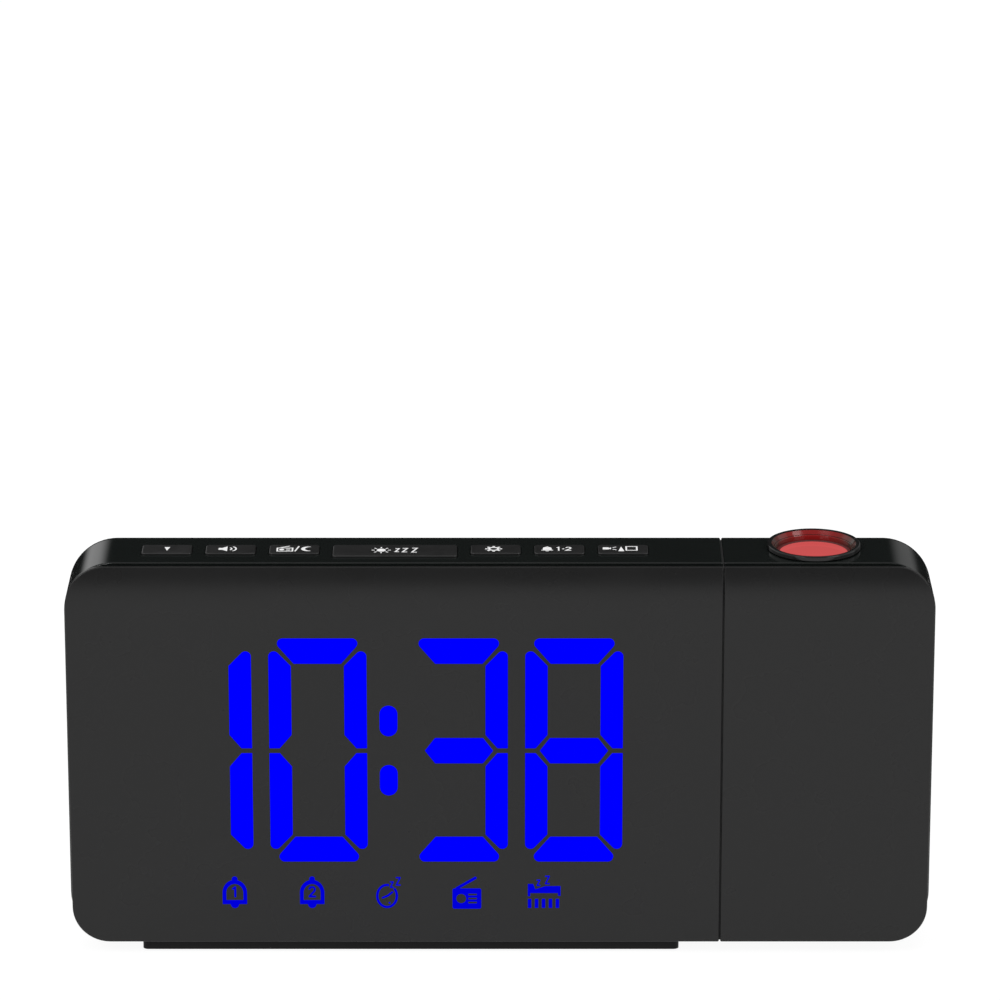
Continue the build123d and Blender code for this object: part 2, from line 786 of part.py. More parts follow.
def display_leds():
    """Two chips in each segment's well, and one in each dot's and icon's."""
    bar_z = digit_height / 2 - bar_width / 2
    upright_x = (digit_width - upright_width) / 2
    in_bars = [(side * digit_width / 6, z) for side in (-1, 1) for z in (bar_z, 0, -bar_z)]
    in_uprights = [(side * upright_x, up * share * digit_height / 2)
                   for side in (-1, 1) for up in (-1, 1) for share in (0.32, 0.68)]
    places = [(x + dx, digits_z + dz) for x in digit_centres for dx, dz in in_bars + in_uprights]
    places += [(digits_x, digits_z + side * colon_spacing / 2) for side in (-1, 1)]
    places += [(x, icon_z) for x in icon_centres]
    return group([block((x - led_length / 2, display_board_y - led_height, z - led_width / 2),
                        (x + led_length / 2, display_board_y, z + led_width / 2)) for x, z in places])


# ---------------------------------------------------------------- case
def main_board_posts():
    inset = main_board_post_inset
    return [(x, z) for x in (main_board_left + inset, main_board_right - inset)
            for z in (main_board_low + inset, main_board_high - inset)]


def button_post_places():
    """The posts that hang from the case's top and carry the button board, as (x, y)."""
    before_snooze = key_centres[key_names.index("snooze") - 1]
    return [(x, key_y + side * button_post_reach)
            for x in (key_centres[0], before_snooze, key_centres[-1]) for side in (-1, 1)]


def foot_left():
    return -half_width + foot_left_inset


def foot_right():
    return seam_x - foot_right_inset


def foot_screw_places():
    """The screws up through the foot, as (x, y)."""
    first = foot_left() + foot_screw_inset
    last = foot_right() - foot_screw_inset
    step = (last - first) / (foot_screw_count - 1)
    return [(first + step * i, face_y + foot_screw_behind_face) for i in range(foot_screw_count)]


def key_outline(centre, size, margin):
    """The outline of a key from above, grown by a margin. The keys' rear edges are in line."""
    length, depth = size
    return Pos(centre, key_y + (key_depth - depth) / 2) * RectangleRounded(
        length + 2 * margin, depth + 2 * margin, key_corner_radius)


def grille_places():
    """Holes in rings over the loudspeaker, as (x, z)."""
    places = [(speaker_x, axis_z)]
    for ring in range(1, grille_rings + 1):
        for i in range(6 * ring):
            angle = 2 * math.pi * i / (6 * ring)
            radius = ring * grille_ring_pitch
            places.append((speaker_x + radius * math.cos(angle), axis_z + radius * math.sin(angle)))
    return places


def square(centre, half, margin, radius):
    side = 2 * (half + margin)
    return Pos(*centre) * RectangleRounded(side, side, radius)


def usb_outline(margin):
    return Pos(usb_x, socket_z) * RectangleRounded(usb_width + 2 * margin, usb_height + 2 * margin,
                                                   usb_corner_radius + margin)


def keyed_top(case):
    """The windows for the keys, and the posts for their board."""
    for centre, size in zip(key_centres, key_sizes):
        case -= along_z(key_outline(centre, size, key_gap), inside_top_z - wall, top_z)
    for place in button_post_places():
        case += rod(button_post_radius, place, "z", button_board_top, inside_top_z + wall / 2)
        case -= rod(button_screw_radius + contact_fit, place, "z", button_board_top,
                    button_board_top + board_screw_length - board_thickness + part_gap)
    return case


def hub_side(case):
    """The bearing hole in the wall at the seam, and the pin that stops the head's turn."""
    case -= rod(bush_radius + contact_fit, (axis_y, axis_z), "x", end_wall_in_case, case_right)
    case += rod(stop_pin_radius, (axis_y, axis_z - stop_radius), "x", end_wall_in_case + end_wall / 2,
                head_left + stop_pin_reach)
    return case


def cell_bay(case):
    """The pocket for the backup cell in the back, with slots for its contacts."""
    bay = (bay_x, bay_z)
    case += along_y(square(bay, bay_half, bay_wall, bay_corner_radius), bay_floor_y - bay_floor,
                    rear_inside_y + wall / 2)
    case -= along_y(square(bay, bay_half, 0, bay_corner_radius), bay_floor_y, back_y)
    case -= along_y(square(bay, door_half, part_gap, door_corner_radius), door_y, back_y)
    for low, high in contact_legs(contact_fit):
        case -= block(low, high)
    return case


def rear_features(case):
    """Loudspeaker seat and grille, cell bay, socket holes and board posts on the back wall."""
    seat = speaker_radius + contact_fit
    speaker = (speaker_x, axis_z)
    case += (rod(seat + speaker_rib, speaker, "y", speaker_rim_y, rear_inside_y + wall / 2)
             - rod(seat, speaker, "y", speaker_rim_y, rear_inside_y))
    holes = Sketch() + [Pos(x, z) * Circle(grille_hole_radius) for x, z in grille_places()]
    case -= along_y(holes, rear_inside_y, back_y)
    case = cell_bay(case)
    case -= rod(jack_barrel_radius + contact_fit, (jack_x, socket_z), "y", rear_inside_y, back_y)
    case -= along_y(usb_outline(contact_fit), rear_inside_y, back_y)
    case -= rod(grommet_radius + contact_fit, (grommet_x, socket_z), "y", rear_inside_y, back_y)
    for place in main_board_posts():
        case += rod(board_post_radius, place, "y", main_board_back_y, rear_inside_y + wall / 2)
        case -= rod(board_screw_radius + contact_fit, place, "y", main_board_back_y,
                    main_board_y + board_screw_length + part_gap)
    return case


def main_case():
    case = rear_features(hub_side(keyed_top(shell("left"))))
    for place in foot_screw_places():
        case += rod(post_radius, place, "z", inside_bottom_z - wall / 2, inside_bottom_z + foot_post_height)
        case -= rod(screw_radius + contact_fit, place, "z", bottom_z,
                    foot_screw_head_z() + foot_screw_length + part_gap)
    return case


def main_board():
    body = block((main_board_left, main_board_y, main_board_low),
                 (main_board_right, main_board_back_y, main_board_high))
    for place in main_board_posts():
        body -= rod(board_screw_radius + part_gap, place, "y", main_board_y, main_board_back_y)
    return body


def board_components():
    """The board's larger parts: chips, choke, capacitors and the socket of the head's lead."""
    base = main_board_back_y
    parts = [block((main_board_left + x - side / 2, base, main_board_low + z - side / 2),
                   (main_board_left + x + side / 2, base + height, main_board_low + z + side / 2))
             for x, z, side, height in chip_places]
    parts += [rod(can_radius, (main_board_left + x, main_board_low + z), "y", base, base + can_height)
              for x, z in can_places]
    parts.append(block((main_board_right - 2 * plug_size, axis_y - plug_size / 2, axis_z - plug_size / 2),
                       (main_board_right, main_board_y, axis_z + plug_size / 2)))
    return group(parts)


def button_board():
    """The board under the keys, kept clear of the posts for the long screws."""
    body = block((button_board_left, key_y - button_board_half, button_board_top - board_thickness),
                 (button_board_right, key_y + button_board_half, button_board_top))
    for place in button_post_places():
        body -= rod(button_screw_radius + contact_fit, place, "z", button_board_top - board_thickness,
                    button_board_top)
    for place in post_places("left"):
        body -= rod(post_radius + part_gap, place, "y", key_y - button_board_half, key_y + button_board_half)
    return body


def button_switches():
    one = Pos(0, 0, switch_height / 2) * Box(switch_size, switch_size, switch_height)
    one -= Pos(0, 0, switch_height - plunger_well / 2) * Cylinder(plunger_radius + part_gap, plunger_well)
    return group([Pos(x, key_y, button_board_top) * one for x in key_centres])


def board_screws():
    """The small screws of the display board, the main board and the button board."""
    small = screw(button_screw_radius, board_screw_length, button_screw_head_radius, board_screw_head_height,
                  board_drive_radius)
    pieces = [Pos(x, display_board_y + board_thickness, z) * Rot(-90, 0, 0) * board_screw()
              for x, z in display_screw_places()]
    pieces += [Pos(x, main_board_y, z) * Rot(90, 0, 0) * board_screw() for x, z in main_board_posts()]
    pieces += [Pos(x, y, button_board_top - board_thickness) * Rot(180, 0, 0) * small
               for x, y in button_post_places()]
    return group(pieces)


def speaker_basket():
    """Basket and magnet of the loudspeaker."""
    centre = (speaker_x, axis_z)
    magnet_y = rear_inside_y - speaker_depth
    neck_y = magnet_y + magnet_height / 2
    neck_height = speaker_rim_y - neck_y
    rim = rod(speaker_radius, centre, "y", speaker_rim_y, rear_inside_y)
    rim -= rod(speaker_radius - speaker_ring, centre, "y", speaker_rim_y, rear_inside_y)
    neck = Cone(magnet_radius, speaker_radius, neck_height)
    neck -= Cone(magnet_radius - basket_wall, speaker_radius - basket_wall, neck_height)
    neck = Pos(speaker_x, neck_y + neck_height / 2, axis_z) * Rot(-90, 0, 0) * neck
    return rim + neck + rod(magnet_radius, centre, "y", magnet_y, magnet_y + magnet_height)


def speaker_cone():
    """The paper cone, with its edge on the front of the basket's rim."""
    edge = speaker_radius - speaker_ring + cone_thickness
    outer = Cone(cone_centre_radius, edge, cone_depth)
    disc = outer - Pos(0, 0, cone_thickness) * outer
    return Pos(speaker_x, speaker_rim_y - cone_depth / 2, axis_z) * Rot(-90, 0, 0) * disc


def power_jack():
    """The power inlet on the main board, its barrel flush with the back."""
    place = (jack_x, socket_z)
    body = block((jack_x - jack_size / 2, rear_inside_y - jack_depth, socket_z - jack_size / 2),
                 (jack_x + jack_size / 2, rear_inside_y, socket_z + jack_size / 2))
    body += rod(jack_barrel_radius, place, "y", rear_inside_y, back_y)
    body -= rod(jack_bore_radius, place, "y", rear_inside_y - jack_depth + wall, back_y)
    return body + rod(jack_pin_radius, place, "y", rear_inside_y - jack_depth + wall / 2, back_y - wall)


def usb_socket():
    """The charging outlet: a folded shell with its tongue."""
    front = rear_inside_y - jack_depth
    body = along_y(usb_outline(0), front, back_y) - along_y(usb_outline(-usb_wall), front + wall, back_y)
    tongue_z = socket_z + usb_height / 2 - usb_wall - usb_tongue_height
    return body + block((usb_x - usb_tongue_width / 2, front + wall / 2, tongue_z),
                        (usb_x + usb_tongue_width / 2, back_y - wall / 2, tongue_z + usb_tongue_height))


def aerial_grommet():
    place = (grommet_x, socket_z)
    body = rod(grommet_radius, place, "y", rear_inside_y, back_y + grommet_flange)
    body += rod(grommet_flange_radius, place, "y", back_y, back_y + grommet_flange)
    body += rod(grommet_flange_radius, place, "y", rear_inside_y - grommet_flange, rear_inside_y)
    return body - rod(grommet_bore, place, "y", rear_inside_y - grommet_flange, back_y + grommet_flange)


def coin_cell():
    body = rod(cell_radius, (bay_x, bay_z), "y", bay_floor_y + contact_thickness,
               bay_floor_y + contact_thickness + cell_thickness)
    rim = body.edges().filter_by(GeomType.CIRCLE).sort_by(Axis.Y)
    return fillet(rim, contact_thickness)


def contact_legs(margin):
    """The boxes of the two legs that reach from the cell's contacts to the main board."""
    half = contact_leg / 2 + margin
    thick = contact_thickness + margin
    left = bay_x - bay_half + contact_width / 2
    right = bay_x + cell_radius + contact_fit
    top_y = bay_floor_y + contact_thickness
    return [((left - half, main_board_back_y, bay_z - thick), (left + half, top_y, bay_z)),
            ((right - margin, main_board_back_y, bay_z - half), (right + thick, top_y, bay_z + half))]


def cell_contacts():
    """The strip under the cell and the strip at its edge, each with a leg to the main board."""
    legs = [block(low, high) for low, high in contact_legs(0)]
    under = block((bay_x - bay_half + contact_fit, bay_floor_y, bay_z - contact_width / 2),
                  (bay_x + cell_radius / 2, bay_floor_y + contact_thickness, bay_z + contact_width / 2))
    edge_x = bay_x + cell_radius + contact_fit
    edge = block((edge_x, bay_floor_y, bay_z - contact_width / 2),
                 (edge_x + contact_thickness, bay_floor_y + cell_thickness, bay_z + contact_width / 2))
    return group([under + legs[0], edge + legs[1]])


def battery_door():
    """The lid of the cell bay, with two tabs that grip the bay's walls and a thumb hollow."""
    bay = (bay_x, bay_z)
    door = along_y(square(bay, door_half, 0, door_corner_radius), door_y, back_y)
    for side in (-1, 1):
        outer = bay_z + side * (bay_half - contact_fit)
        inner = outer - side * door_tab_thickness
        door += block((bay_x - door_tab_width / 2, door_y - door_tab_length, min(outer, inner)),
                      (bay_x + door_tab_width / 2, door_y, max(outer, inner)))
    return door - rod(grip_radius, (bay_x, bay_z + door_half), "y", back_y - grip_depth, back_y)


# ---------------------------------------------------------------- foot
def foot_screw_head_z():
    return pad_proud + screw_sink + screw_head_height


def foot_pad_places():
    ys = (face_y + foot_front_inset + pad_inset, overall_depth / 2 - pad_inset)
    return [(x, y) for x in (foot_left() + pad_inset, foot_right() - pad_inset) for y in ys]


def foot():
    """The plate under the case, with a ramp that climbs behind it."""
    front, rear = face_y + foot_front_inset, overall_depth / 2
    left, right = foot_left(), foot_right()
    body = block((left, front, pad_proud), (right, rear, bottom_z))
    body = fillet(body.edges().filter_by(Axis.Z), foot_corner_radius)
    ramp = make_face(Polyline((back_y, bottom_z - foot_thickness / 2), (back_y, bottom_z + heel_height),
                              (back_y + wall, bottom_z + heel_height),
                              (rear - foot_corner_radius, bottom_z - foot_thickness / 2), close=True))
    body += along_x(ramp, left + heel_inset, right - heel_inset)
    body = heel_hollows(body, left + 2 * pad_inset, right - 2 * pad_inset)
    for x, y in foot_pad_places():
        body -= rod(pad_radius + contact_fit, (x, y), "z", pad_proud, pad_thickness)
    for place in foot_screw_places():
        body -= rod(screw_head_radius + part_gap, place, "z", pad_proud, foot_screw_head_z())
        body -= rod(screw_radius + part_gap, place, "z", pad_proud, bottom_z)
    return body


def heel_hollows(body, left, right):
    """Pockets under the ramp, with ribs between them."""
    pitch = (right - left + heel_rib) / heel_pockets
    slope_end = overall_depth / 2 - foot_corner_radius
    high, low = bottom_z + heel_height - 2 * wall, bottom_z - foot_thickness / 2
    pocket = make_face(Polyline((back_y + wall, pad_proud), (back_y + wall, high),
                                (slope_end - 2 * wall, low), (slope_end - 2 * wall, pad_proud), close=True))
    for i in range(heel_pockets):
        start = left + i * pitch
        body -= along_x(pocket, start, start + pitch - heel_rib)
    return body


def foot_pads():
    return group([rod(pad_radius, place, "z", 0, pad_thickness) for place in foot_pad_places()])


def foot_screws():
    one = screw(screw_radius, foot_screw_length, screw_head_radius, screw_head_height, drive_radius)
    return group([Pos(x, y, foot_screw_head_z()) * Rot(180, 0, 0) * one for x, y in foot_screw_places()])


# ---------------------------------------------------------------- keys
def key(centre, size):
    """A keycap with a flange under the case's top and a stem that reaches its switch."""
    cap = along_z(key_outline(centre, size, 0), key_flange_top - key_flange_height, top_z + key_proud)
    cap = fillet(cap.edges().group_by(Axis.Z)[-1], key_edge_radius)
    flange = key_outline(centre, size, key_flange)
    cap += along_z(flange, key_flange_top - key_flange_height, key_flange_top)
    return cap + rod(key_stem_radius, (centre, key_y), "z", stem_bottom_z, key_flange_top)


def plunger(centre):
    return rod(plunger_radius, (centre, key_y), "z", switch_top_z - plunger_seat, stem_bottom_z)


# ---------------------------------------------------------------- hub
def stop_slot():
    """The arc in (y, z) that the stop pin runs in, to each side of the hub's underside, with round ends."""
    arc = CenterArc((0, 0), stop_radius, -90 - head_turn, 2 * head_turn)
    return Pos(axis_y, axis_z) * SlotArc(arc, 2 * (stop_pin_radius + stop_groove_fit))


def hub():
    """The hollow shaft that carries the head, with its plate inside the head and a groove for the clip."""
    axis = (axis_y, axis_z)
    body = block((end_wall_in_head, axis_y - hub_plate_depth / 2, axis_z - hub_plate_height / 2),
                 (hub_plate_x, axis_y + hub_plate_depth / 2, axis_z + hub_plate_height / 2))
    body += rod(hub_radius, axis, "x", hub_end_x, end_wall_in_head + hub_plate_thickness / 2)
    body -= rod(hub_bore, axis, "x", hub_end_x, hub_plate_x)
    body -= (rod(hub_radius, axis, "x", clip_x, clip_x + clip_thickness)
             - rod(hub_radius - clip_groove_depth, axis, "x", clip_x, clip_x + clip_thickness))
    for z in hub_screw_heights():
        body -= rod(board_screw_radius + part_gap, (axis_y, z), "x", end_wall_in_head, hub_plate_x)
    return body


def hub_screw_heights():
    return (axis_z - hub_screw_spacing / 2, axis_z + hub_screw_spacing / 2)


def hub_screws():
    return group([Pos(hub_plate_x, axis_y, z) * Rot(0, 90, 0) * board_screw(hub_screw_length)
                  for z in hub_screw_heights()])


def hub_bush():
    axis = (axis_y, axis_z)
    body = rod(bush_radius, axis, "x", bush_flange_x, case_right)
    body += rod(bush_flange_radius, axis, "x", bush_flange_x, end_wall_in_case)
    return body - rod(hub_radius + running_fit, axis, "x", bush_flange_x, case_right)


def hub_clip():
    """A spring ring with an opening, in the shaft's groove."""
    ring = Circle(clip_outer_radius) - Circle(hub_radius - clip_groove_depth + contact_fit)
    reach = 2 * clip_outer_radius
    half = math.radians(clip_opening / 2)
    wedge = make_face(Polyline((0, 0), (reach * math.sin(half), reach * math.cos(half)),
                               (-reach * math.sin(half), reach * math.cos(half)), close=True))
    return along_x(Pos(axis_y, axis_z) * (ring - wedge), clip_x, clip_x + clip_thickness)


def spring_washer():
    """A coned washer between the clip and the bush."""
    inner = hub_radius + running_fit
    profile = make_face(Polyline((inner, 0), (washer_outer_radius, washer_height - washer_thickness),
                                 (washer_outer_radius, washer_height), (inner, washer_thickness), close=True))
    ring = revolve(Plane.XZ * profile, Axis.Z)
    return Pos(washer_x, axis_y, axis_z) * Rot(0, 90, 0) * ring


# ---------------------------------------------------------------- head
def head_cover():
    return front_cover("right")


def head_case():
    """The tub of the head, with the ring's seat, the lens tube, the hub's hole and the stop pin's slot."""
    case = shell("right")
    case += rod(ring_radius - collar_inset, lens_place, "z", top_z - collar_depth, top_z)
    case += rod(tube_radius, lens_place, "z", tube_bottom_z, inside_top_z + wall / 2)
    case -= rod(tube_bore, lens_place, "z", tube_bottom_z + tube_floor, bead_top_z + contact_fit)
    case -= rod(ring_skirt_radius + running_fit, lens_place, "z", bead_top_z, top_z)
    case -= rod(carrier_aperture, lens_place, "z", tube_bottom_z, tube_bottom_z + tube_floor)
    for place in guide_pin_places():
        case -= rod(guide_pin_radius + contact_fit / 2, place, "z", tube_bottom_z + tube_floor / 2,
                    tube_bottom_z + tube_floor)
    case -= rod(hub_radius + contact_fit, (axis_y, axis_z), "x", head_left, end_wall_in_head)
    case -= along_x(stop_slot(), head_left, head_left + stop_groove_depth)
    for z in hub_screw_heights():
        case -= rod(board_screw_radius + contact_fit, (axis_y, z), "x",
                    hub_plate_x - hub_screw_length - part_gap, end_wall_in_head)
    for x, z in frame_screw_places():
        case += rod(board_post_radius, (x, z), "y", frame_back_y(), rear_inside_y + wall / 2)
        case -= rod(board_screw_radius + contact_fit, (x, z), "y", frame_back_y(),
                    frame_back_y() - frame_wall + hub_screw_length + part_gap)
    return case


def guide_pin_places():
    return [(lens_axis_x + side * guide_pin_place, lens_y) for side in (-1, 1)]


def guide_pins():
    top = carrier_bottom_z + carrier_floor + focus_travel + guide_pin_margin
    return group([rod(guide_pin_radius, place, "z", tube_bottom_z + tube_floor / 2, top)
                  for place in guide_pin_places()])


def frame_back_y():
    return lens_y + frame_depth / 2


def frame_screw_places():
    return [(lens_axis_x, inside_bottom_z + height) for height in frame_screw_heights]


def led_screw_places():
    return [(lens_axis_x + side * led_screw_reach, lens_y) for side in (-1, 1)]


def optics_frame():
    """An open-fronted frame of shelves that holds the LED, condenser and time panel in line with the lens."""
    left, right = lens_axis_x - frame_width / 2, lens_axis_x + frame_width / 2
    front, back = lens_y - frame_depth / 2, frame_back_y()
    body = block((left, front, led_board_top), (right, back, tube_bottom_z))
    body -= block((left + frame_wall, front, led_shelf_z), (right - frame_wall, back - frame_wall,
                                                            tube_bottom_z - frame_shelf))
    for shelf in (condenser_shelf_z, lcd_shelf_z):
        body += block((left, front, shelf - frame_shelf), (right, back, shelf))
    for shelf in (condenser_shelf_z, lcd_shelf_z, tube_bottom_z):
        body -= rod(frame_aperture, lens_place, "z", shelf - frame_shelf, shelf)
    body -= rod(projector_led_radius + part_gap, lens_place, "z", led_board_top, led_shelf_z)
    for place in led_screw_places():
        body += rod(led_screw_post_radius, place, "z", led_shelf_z, led_shelf_z + led_screw_post_height)
        body -= rod(button_screw_radius + contact_fit, place, "z", led_board_top,
                    led_shelf_z + led_screw_post_height)
    for place in frame_screw_places():
        body -= rod(board_screw_radius + part_gap, place, "y", back - frame_wall, back)
    return body


def led_board():
    body = block((led_board_left, lens_y - frame_depth / 2, led_board_top - led_board_thickness),
                 (lens_axis_x + frame_width / 2, frame_back_y(), led_board_top))
    for place in led_screw_places():
        body -= rod(button_screw_radius + contact_fit, place, "z", led_board_top - led_board_thickness,
                    led_board_top)
    return body


def projector_led():
    body = rod(projector_led_radius, lens_place, "z", led_board_top, led_board_top + projector_led_height)
    return body + Pos(*lens_place, led_board_top + projector_led_height) * Sphere(projector_led_radius)


def domed_disc(radius, edge, bulge):
    """A flat-bottomed lens with a bulging top, standing on the origin."""
    curve = (radius**2 + bulge**2) / (2 * bulge)
    ball = Pos(0, 0, edge + bulge - curve) * Sphere(curve)
    cap = ball & Pos(0, 0, edge + bulge) * Cylinder(radius, 2 * bulge)
    return Pos(0, 0, edge / 2) * Cylinder(radius, edge) + cap


def condenser_lens():
    return Pos(*lens_place, condenser_shelf_z) * domed_disc(condenser_radius, condenser_edge, condenser_bulge)


def lcd_panel():
    return Pos(*lens_place, lcd_shelf_z + lcd_thickness / 2) * Box(lcd_size, lcd_size, lcd_thickness)


def head_screws():
    """The screws of the optics frame and the LED board."""
    small = screw(button_screw_radius, led_board_thickness + frame_shelf + led_screw_post_height - part_gap,
                  button_screw_head_radius, board_screw_head_height, board_drive_radius)
    pieces = [Pos(x, frame_back_y() - frame_wall, z) * Rot(90, 0, 0) * board_screw(hub_screw_length)
              for x, z in frame_screw_places()]
    pieces += [Pos(x, y, led_board_top - led_board_thickness) * Rot(180, 0, 0) * small
               for x, y in led_screw_places()]
    return group(pieces)


def case_lead():
    """The part of the head's lead that stays in the case, along the hub's axis."""
    return rod(harness_radius, (axis_y, axis_z), "x", main_board_right, case_right)


def head_lead():
    """The part of the lead that turns with the head: out of the hub, then down to the LED board's plug."""
    path = FilletPolyline((case_right, axis_y, axis_z), (harness_drop_x, axis_y, axis_z),
                          (harness_drop_x, axis_y, led_board_top + plug_size), radius=harness_bend)
    start = Plane(origin=(case_right, axis_y, axis_z), z_dir=(1, 0, 0))
    return sweep(start * Circle(harness_radius), path)


def head_plug():
    return Pos(harness_drop_x, axis_y, led_board_top + plug_size / 2) * Box(plug_size, plug_size, plug_size)


# ---------------------------------------------------------------- focus
def focus_ring():
    """The raised ring on top of the head, with a skirt in the case's hole and a bead that keeps it in."""
    low, flange_z = ring_skirt_bottom, top_z + ring_lift
    dish_z, throat_z = ring_top_z - ring_dish, ring_top_z - ring_throat_depth
    outline = Polyline(
        (ring_skirt_bore, low), (ring_bead_radius, low), (ring_bead_radius, bead_top_z),
        (ring_skirt_radius, bead_top_z), (ring_skirt_radius, flange_z), (ring_radius, flange_z),
        (ring_radius, ring_top_z), (ring_mouth_radius, dish_z), (ring_throat_radius, throat_z),
        (ring_skirt_bore, throat_z), close=True)
    profile = make_face(outline)
    rim = profile.vertices().sort_by(Axis.Y).group_by(Axis.Y)[-1]
    profile = fillet(rim.sort_by(Axis.X)[-1:], ring_round)
    return Pos(*lens_place, 0) * revolve(Plane.XZ * profile, Axis.Z)


def lens_seat_z():
    """The underside of the projection lens."""
    return carrier_top_z - lens_edge_drop - lens_edge


def lens_carrier():
    """The cup that slides in the ring, with a ledge for the lens and a floor on the guide pins."""
    body = rod(carrier_radius, lens_place, "z", carrier_bottom_z, carrier_top_z)
    body -= rod(carrier_bore, lens_place, "z", carrier_bottom_z + carrier_floor, carrier_top_z)
    body -= rod(carrier_aperture, lens_place, "z", carrier_bottom_z, carrier_bottom_z + carrier_floor)
    ledge_low, ledge_high = lens_seat_z() - carrier_ledge_height, lens_seat_z()
    body += (rod(carrier_bore + contact_fit, lens_place, "z", ledge_low, ledge_high)
             - rod(carrier_bore - carrier_ledge, lens_place, "z", ledge_low, ledge_high))
    for place in guide_pin_places():
        body -= rod(guide_pin_radius + running_fit, place, "z", carrier_bottom_z,
                    carrier_bottom_z + carrier_floor)
    mouth = body.edges().filter_by(GeomType.CIRCLE).group_by(Axis.Z)[-1].sort_by(SortBy.RADIUS)[:1]
    return chamfer(mouth, bezel_slope)


def projection_lens():
    return Pos(*lens_place, lens_seat_z()) * domed_disc(carrier_bore - contact_fit, lens_edge, lens_bulge)


# ---------------------------------------------------------------- files
pieces = {
    "display_cover": display_cover, "lit_segments": lambda: segment_diffusers(True),
    "dark_segments": lambda: segment_diffusers(False), "indicator_icons": indicator_icons,
    "reflector_block": reflector_block, "display_board": display_board, "display_leds": display_leds,
    "main_case": main_case, "case_screws": lambda: long_screws("left"), "main_board": main_board,
    "board_components": board_components, "board_screws": board_screws, "button_board": button_board,
    "button_switches": button_switches, "speaker_basket": speaker_basket, "speaker_cone": speaker_cone,
    "power_jack": power_jack, "usb_socket": usb_socket, "aerial_grommet": aerial_grommet,
    "coin_cell": coin_cell, "cell_contacts": cell_contacts, "battery_door": battery_door,
    "foot": foot, "foot_pads": foot_pads, "foot_screws": foot_screws, "hub_bush": hub_bush,
    "case_lead": case_lead, "head_cover": head_cover, "head_case": head_case,
    "head_case_screws": lambda: long_screws("right"), "hub": hub, "hub_screws": hub_screws,
    "hub_clip": hub_clip, "spring_washer": spring_washer, "guide_pins": guide_pins,
    "optics_frame": optics_frame, "led_board": led_board, "projector_led": projector_led,
    "condenser_lens": condenser_lens, "lcd_panel": lcd_panel, "head_screws": head_screws,
    "head_lead": head_lead, "head_plug": head_plug, "focus_ring": focus_ring,
    "lens_carrier": lens_carrier, "projection_lens": projection_lens,
}

os.makedirs("parts", exist_ok=True)
for name, make in pieces.items():
    export_step(make(), f"parts/{name}.step")
for name, centre, size in zip(key_names, key_centres, key_sizes):
    export_step(key(centre, size), f"parts/key_{name}.step")
    export_step(plunger(centre), f"parts/plunger_{name}.step")
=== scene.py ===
import json
import math

import bmesh
import bpy
from mathutils import Matrix, Vector


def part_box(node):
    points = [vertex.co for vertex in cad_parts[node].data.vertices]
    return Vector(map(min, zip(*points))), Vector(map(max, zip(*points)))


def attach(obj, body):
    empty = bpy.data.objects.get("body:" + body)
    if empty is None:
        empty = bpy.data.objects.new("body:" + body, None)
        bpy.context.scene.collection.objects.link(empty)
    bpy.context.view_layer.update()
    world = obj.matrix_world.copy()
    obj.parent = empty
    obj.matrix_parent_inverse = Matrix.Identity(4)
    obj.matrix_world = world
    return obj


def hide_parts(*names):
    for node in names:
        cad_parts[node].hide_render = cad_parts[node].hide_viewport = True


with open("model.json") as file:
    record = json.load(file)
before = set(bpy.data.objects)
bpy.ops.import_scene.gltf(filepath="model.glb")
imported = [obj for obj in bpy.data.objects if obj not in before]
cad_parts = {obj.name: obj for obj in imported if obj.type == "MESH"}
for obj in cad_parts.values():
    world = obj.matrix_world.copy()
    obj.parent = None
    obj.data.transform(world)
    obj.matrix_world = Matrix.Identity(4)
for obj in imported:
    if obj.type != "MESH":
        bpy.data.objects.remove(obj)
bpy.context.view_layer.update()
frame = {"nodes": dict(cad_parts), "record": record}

nodes = frame["nodes"]
MM = 0.001


# ---------------------------------------------------------------- nodes and colours
def add(tree, kind, inputs=None, **settings):
    """Adds a node. Inputs map a socket's name or number to a value, or to another node's output."""
    node = tree.nodes.new(kind)
    for name, value in settings.items():
        setattr(node, name, value)
    for key, value in (inputs or {}).items():
        if isinstance(value, bpy.types.NodeSocket):
            tree.links.new(value, node.inputs[key])
        else:
            node.inputs[key].default_value = value
    return node


def colour(text, share=1.0):
    """An sRGB hex colour as linear RGBA, times a share."""
    parts = [int(text[i:i + 2], 16) / 255 for i in (1, 3, 5)]
    linear = [c / 12.92 if c <= 0.04045 else ((c + 0.055) / 1.055) ** 2.4 for c in parts]
    return (*[c * share for c in linear], 1.0)


def per_mm(size):
    """The scale of a noise on Object coordinates whose grains are this many millimetres across."""
    return 1 / (size * MM)


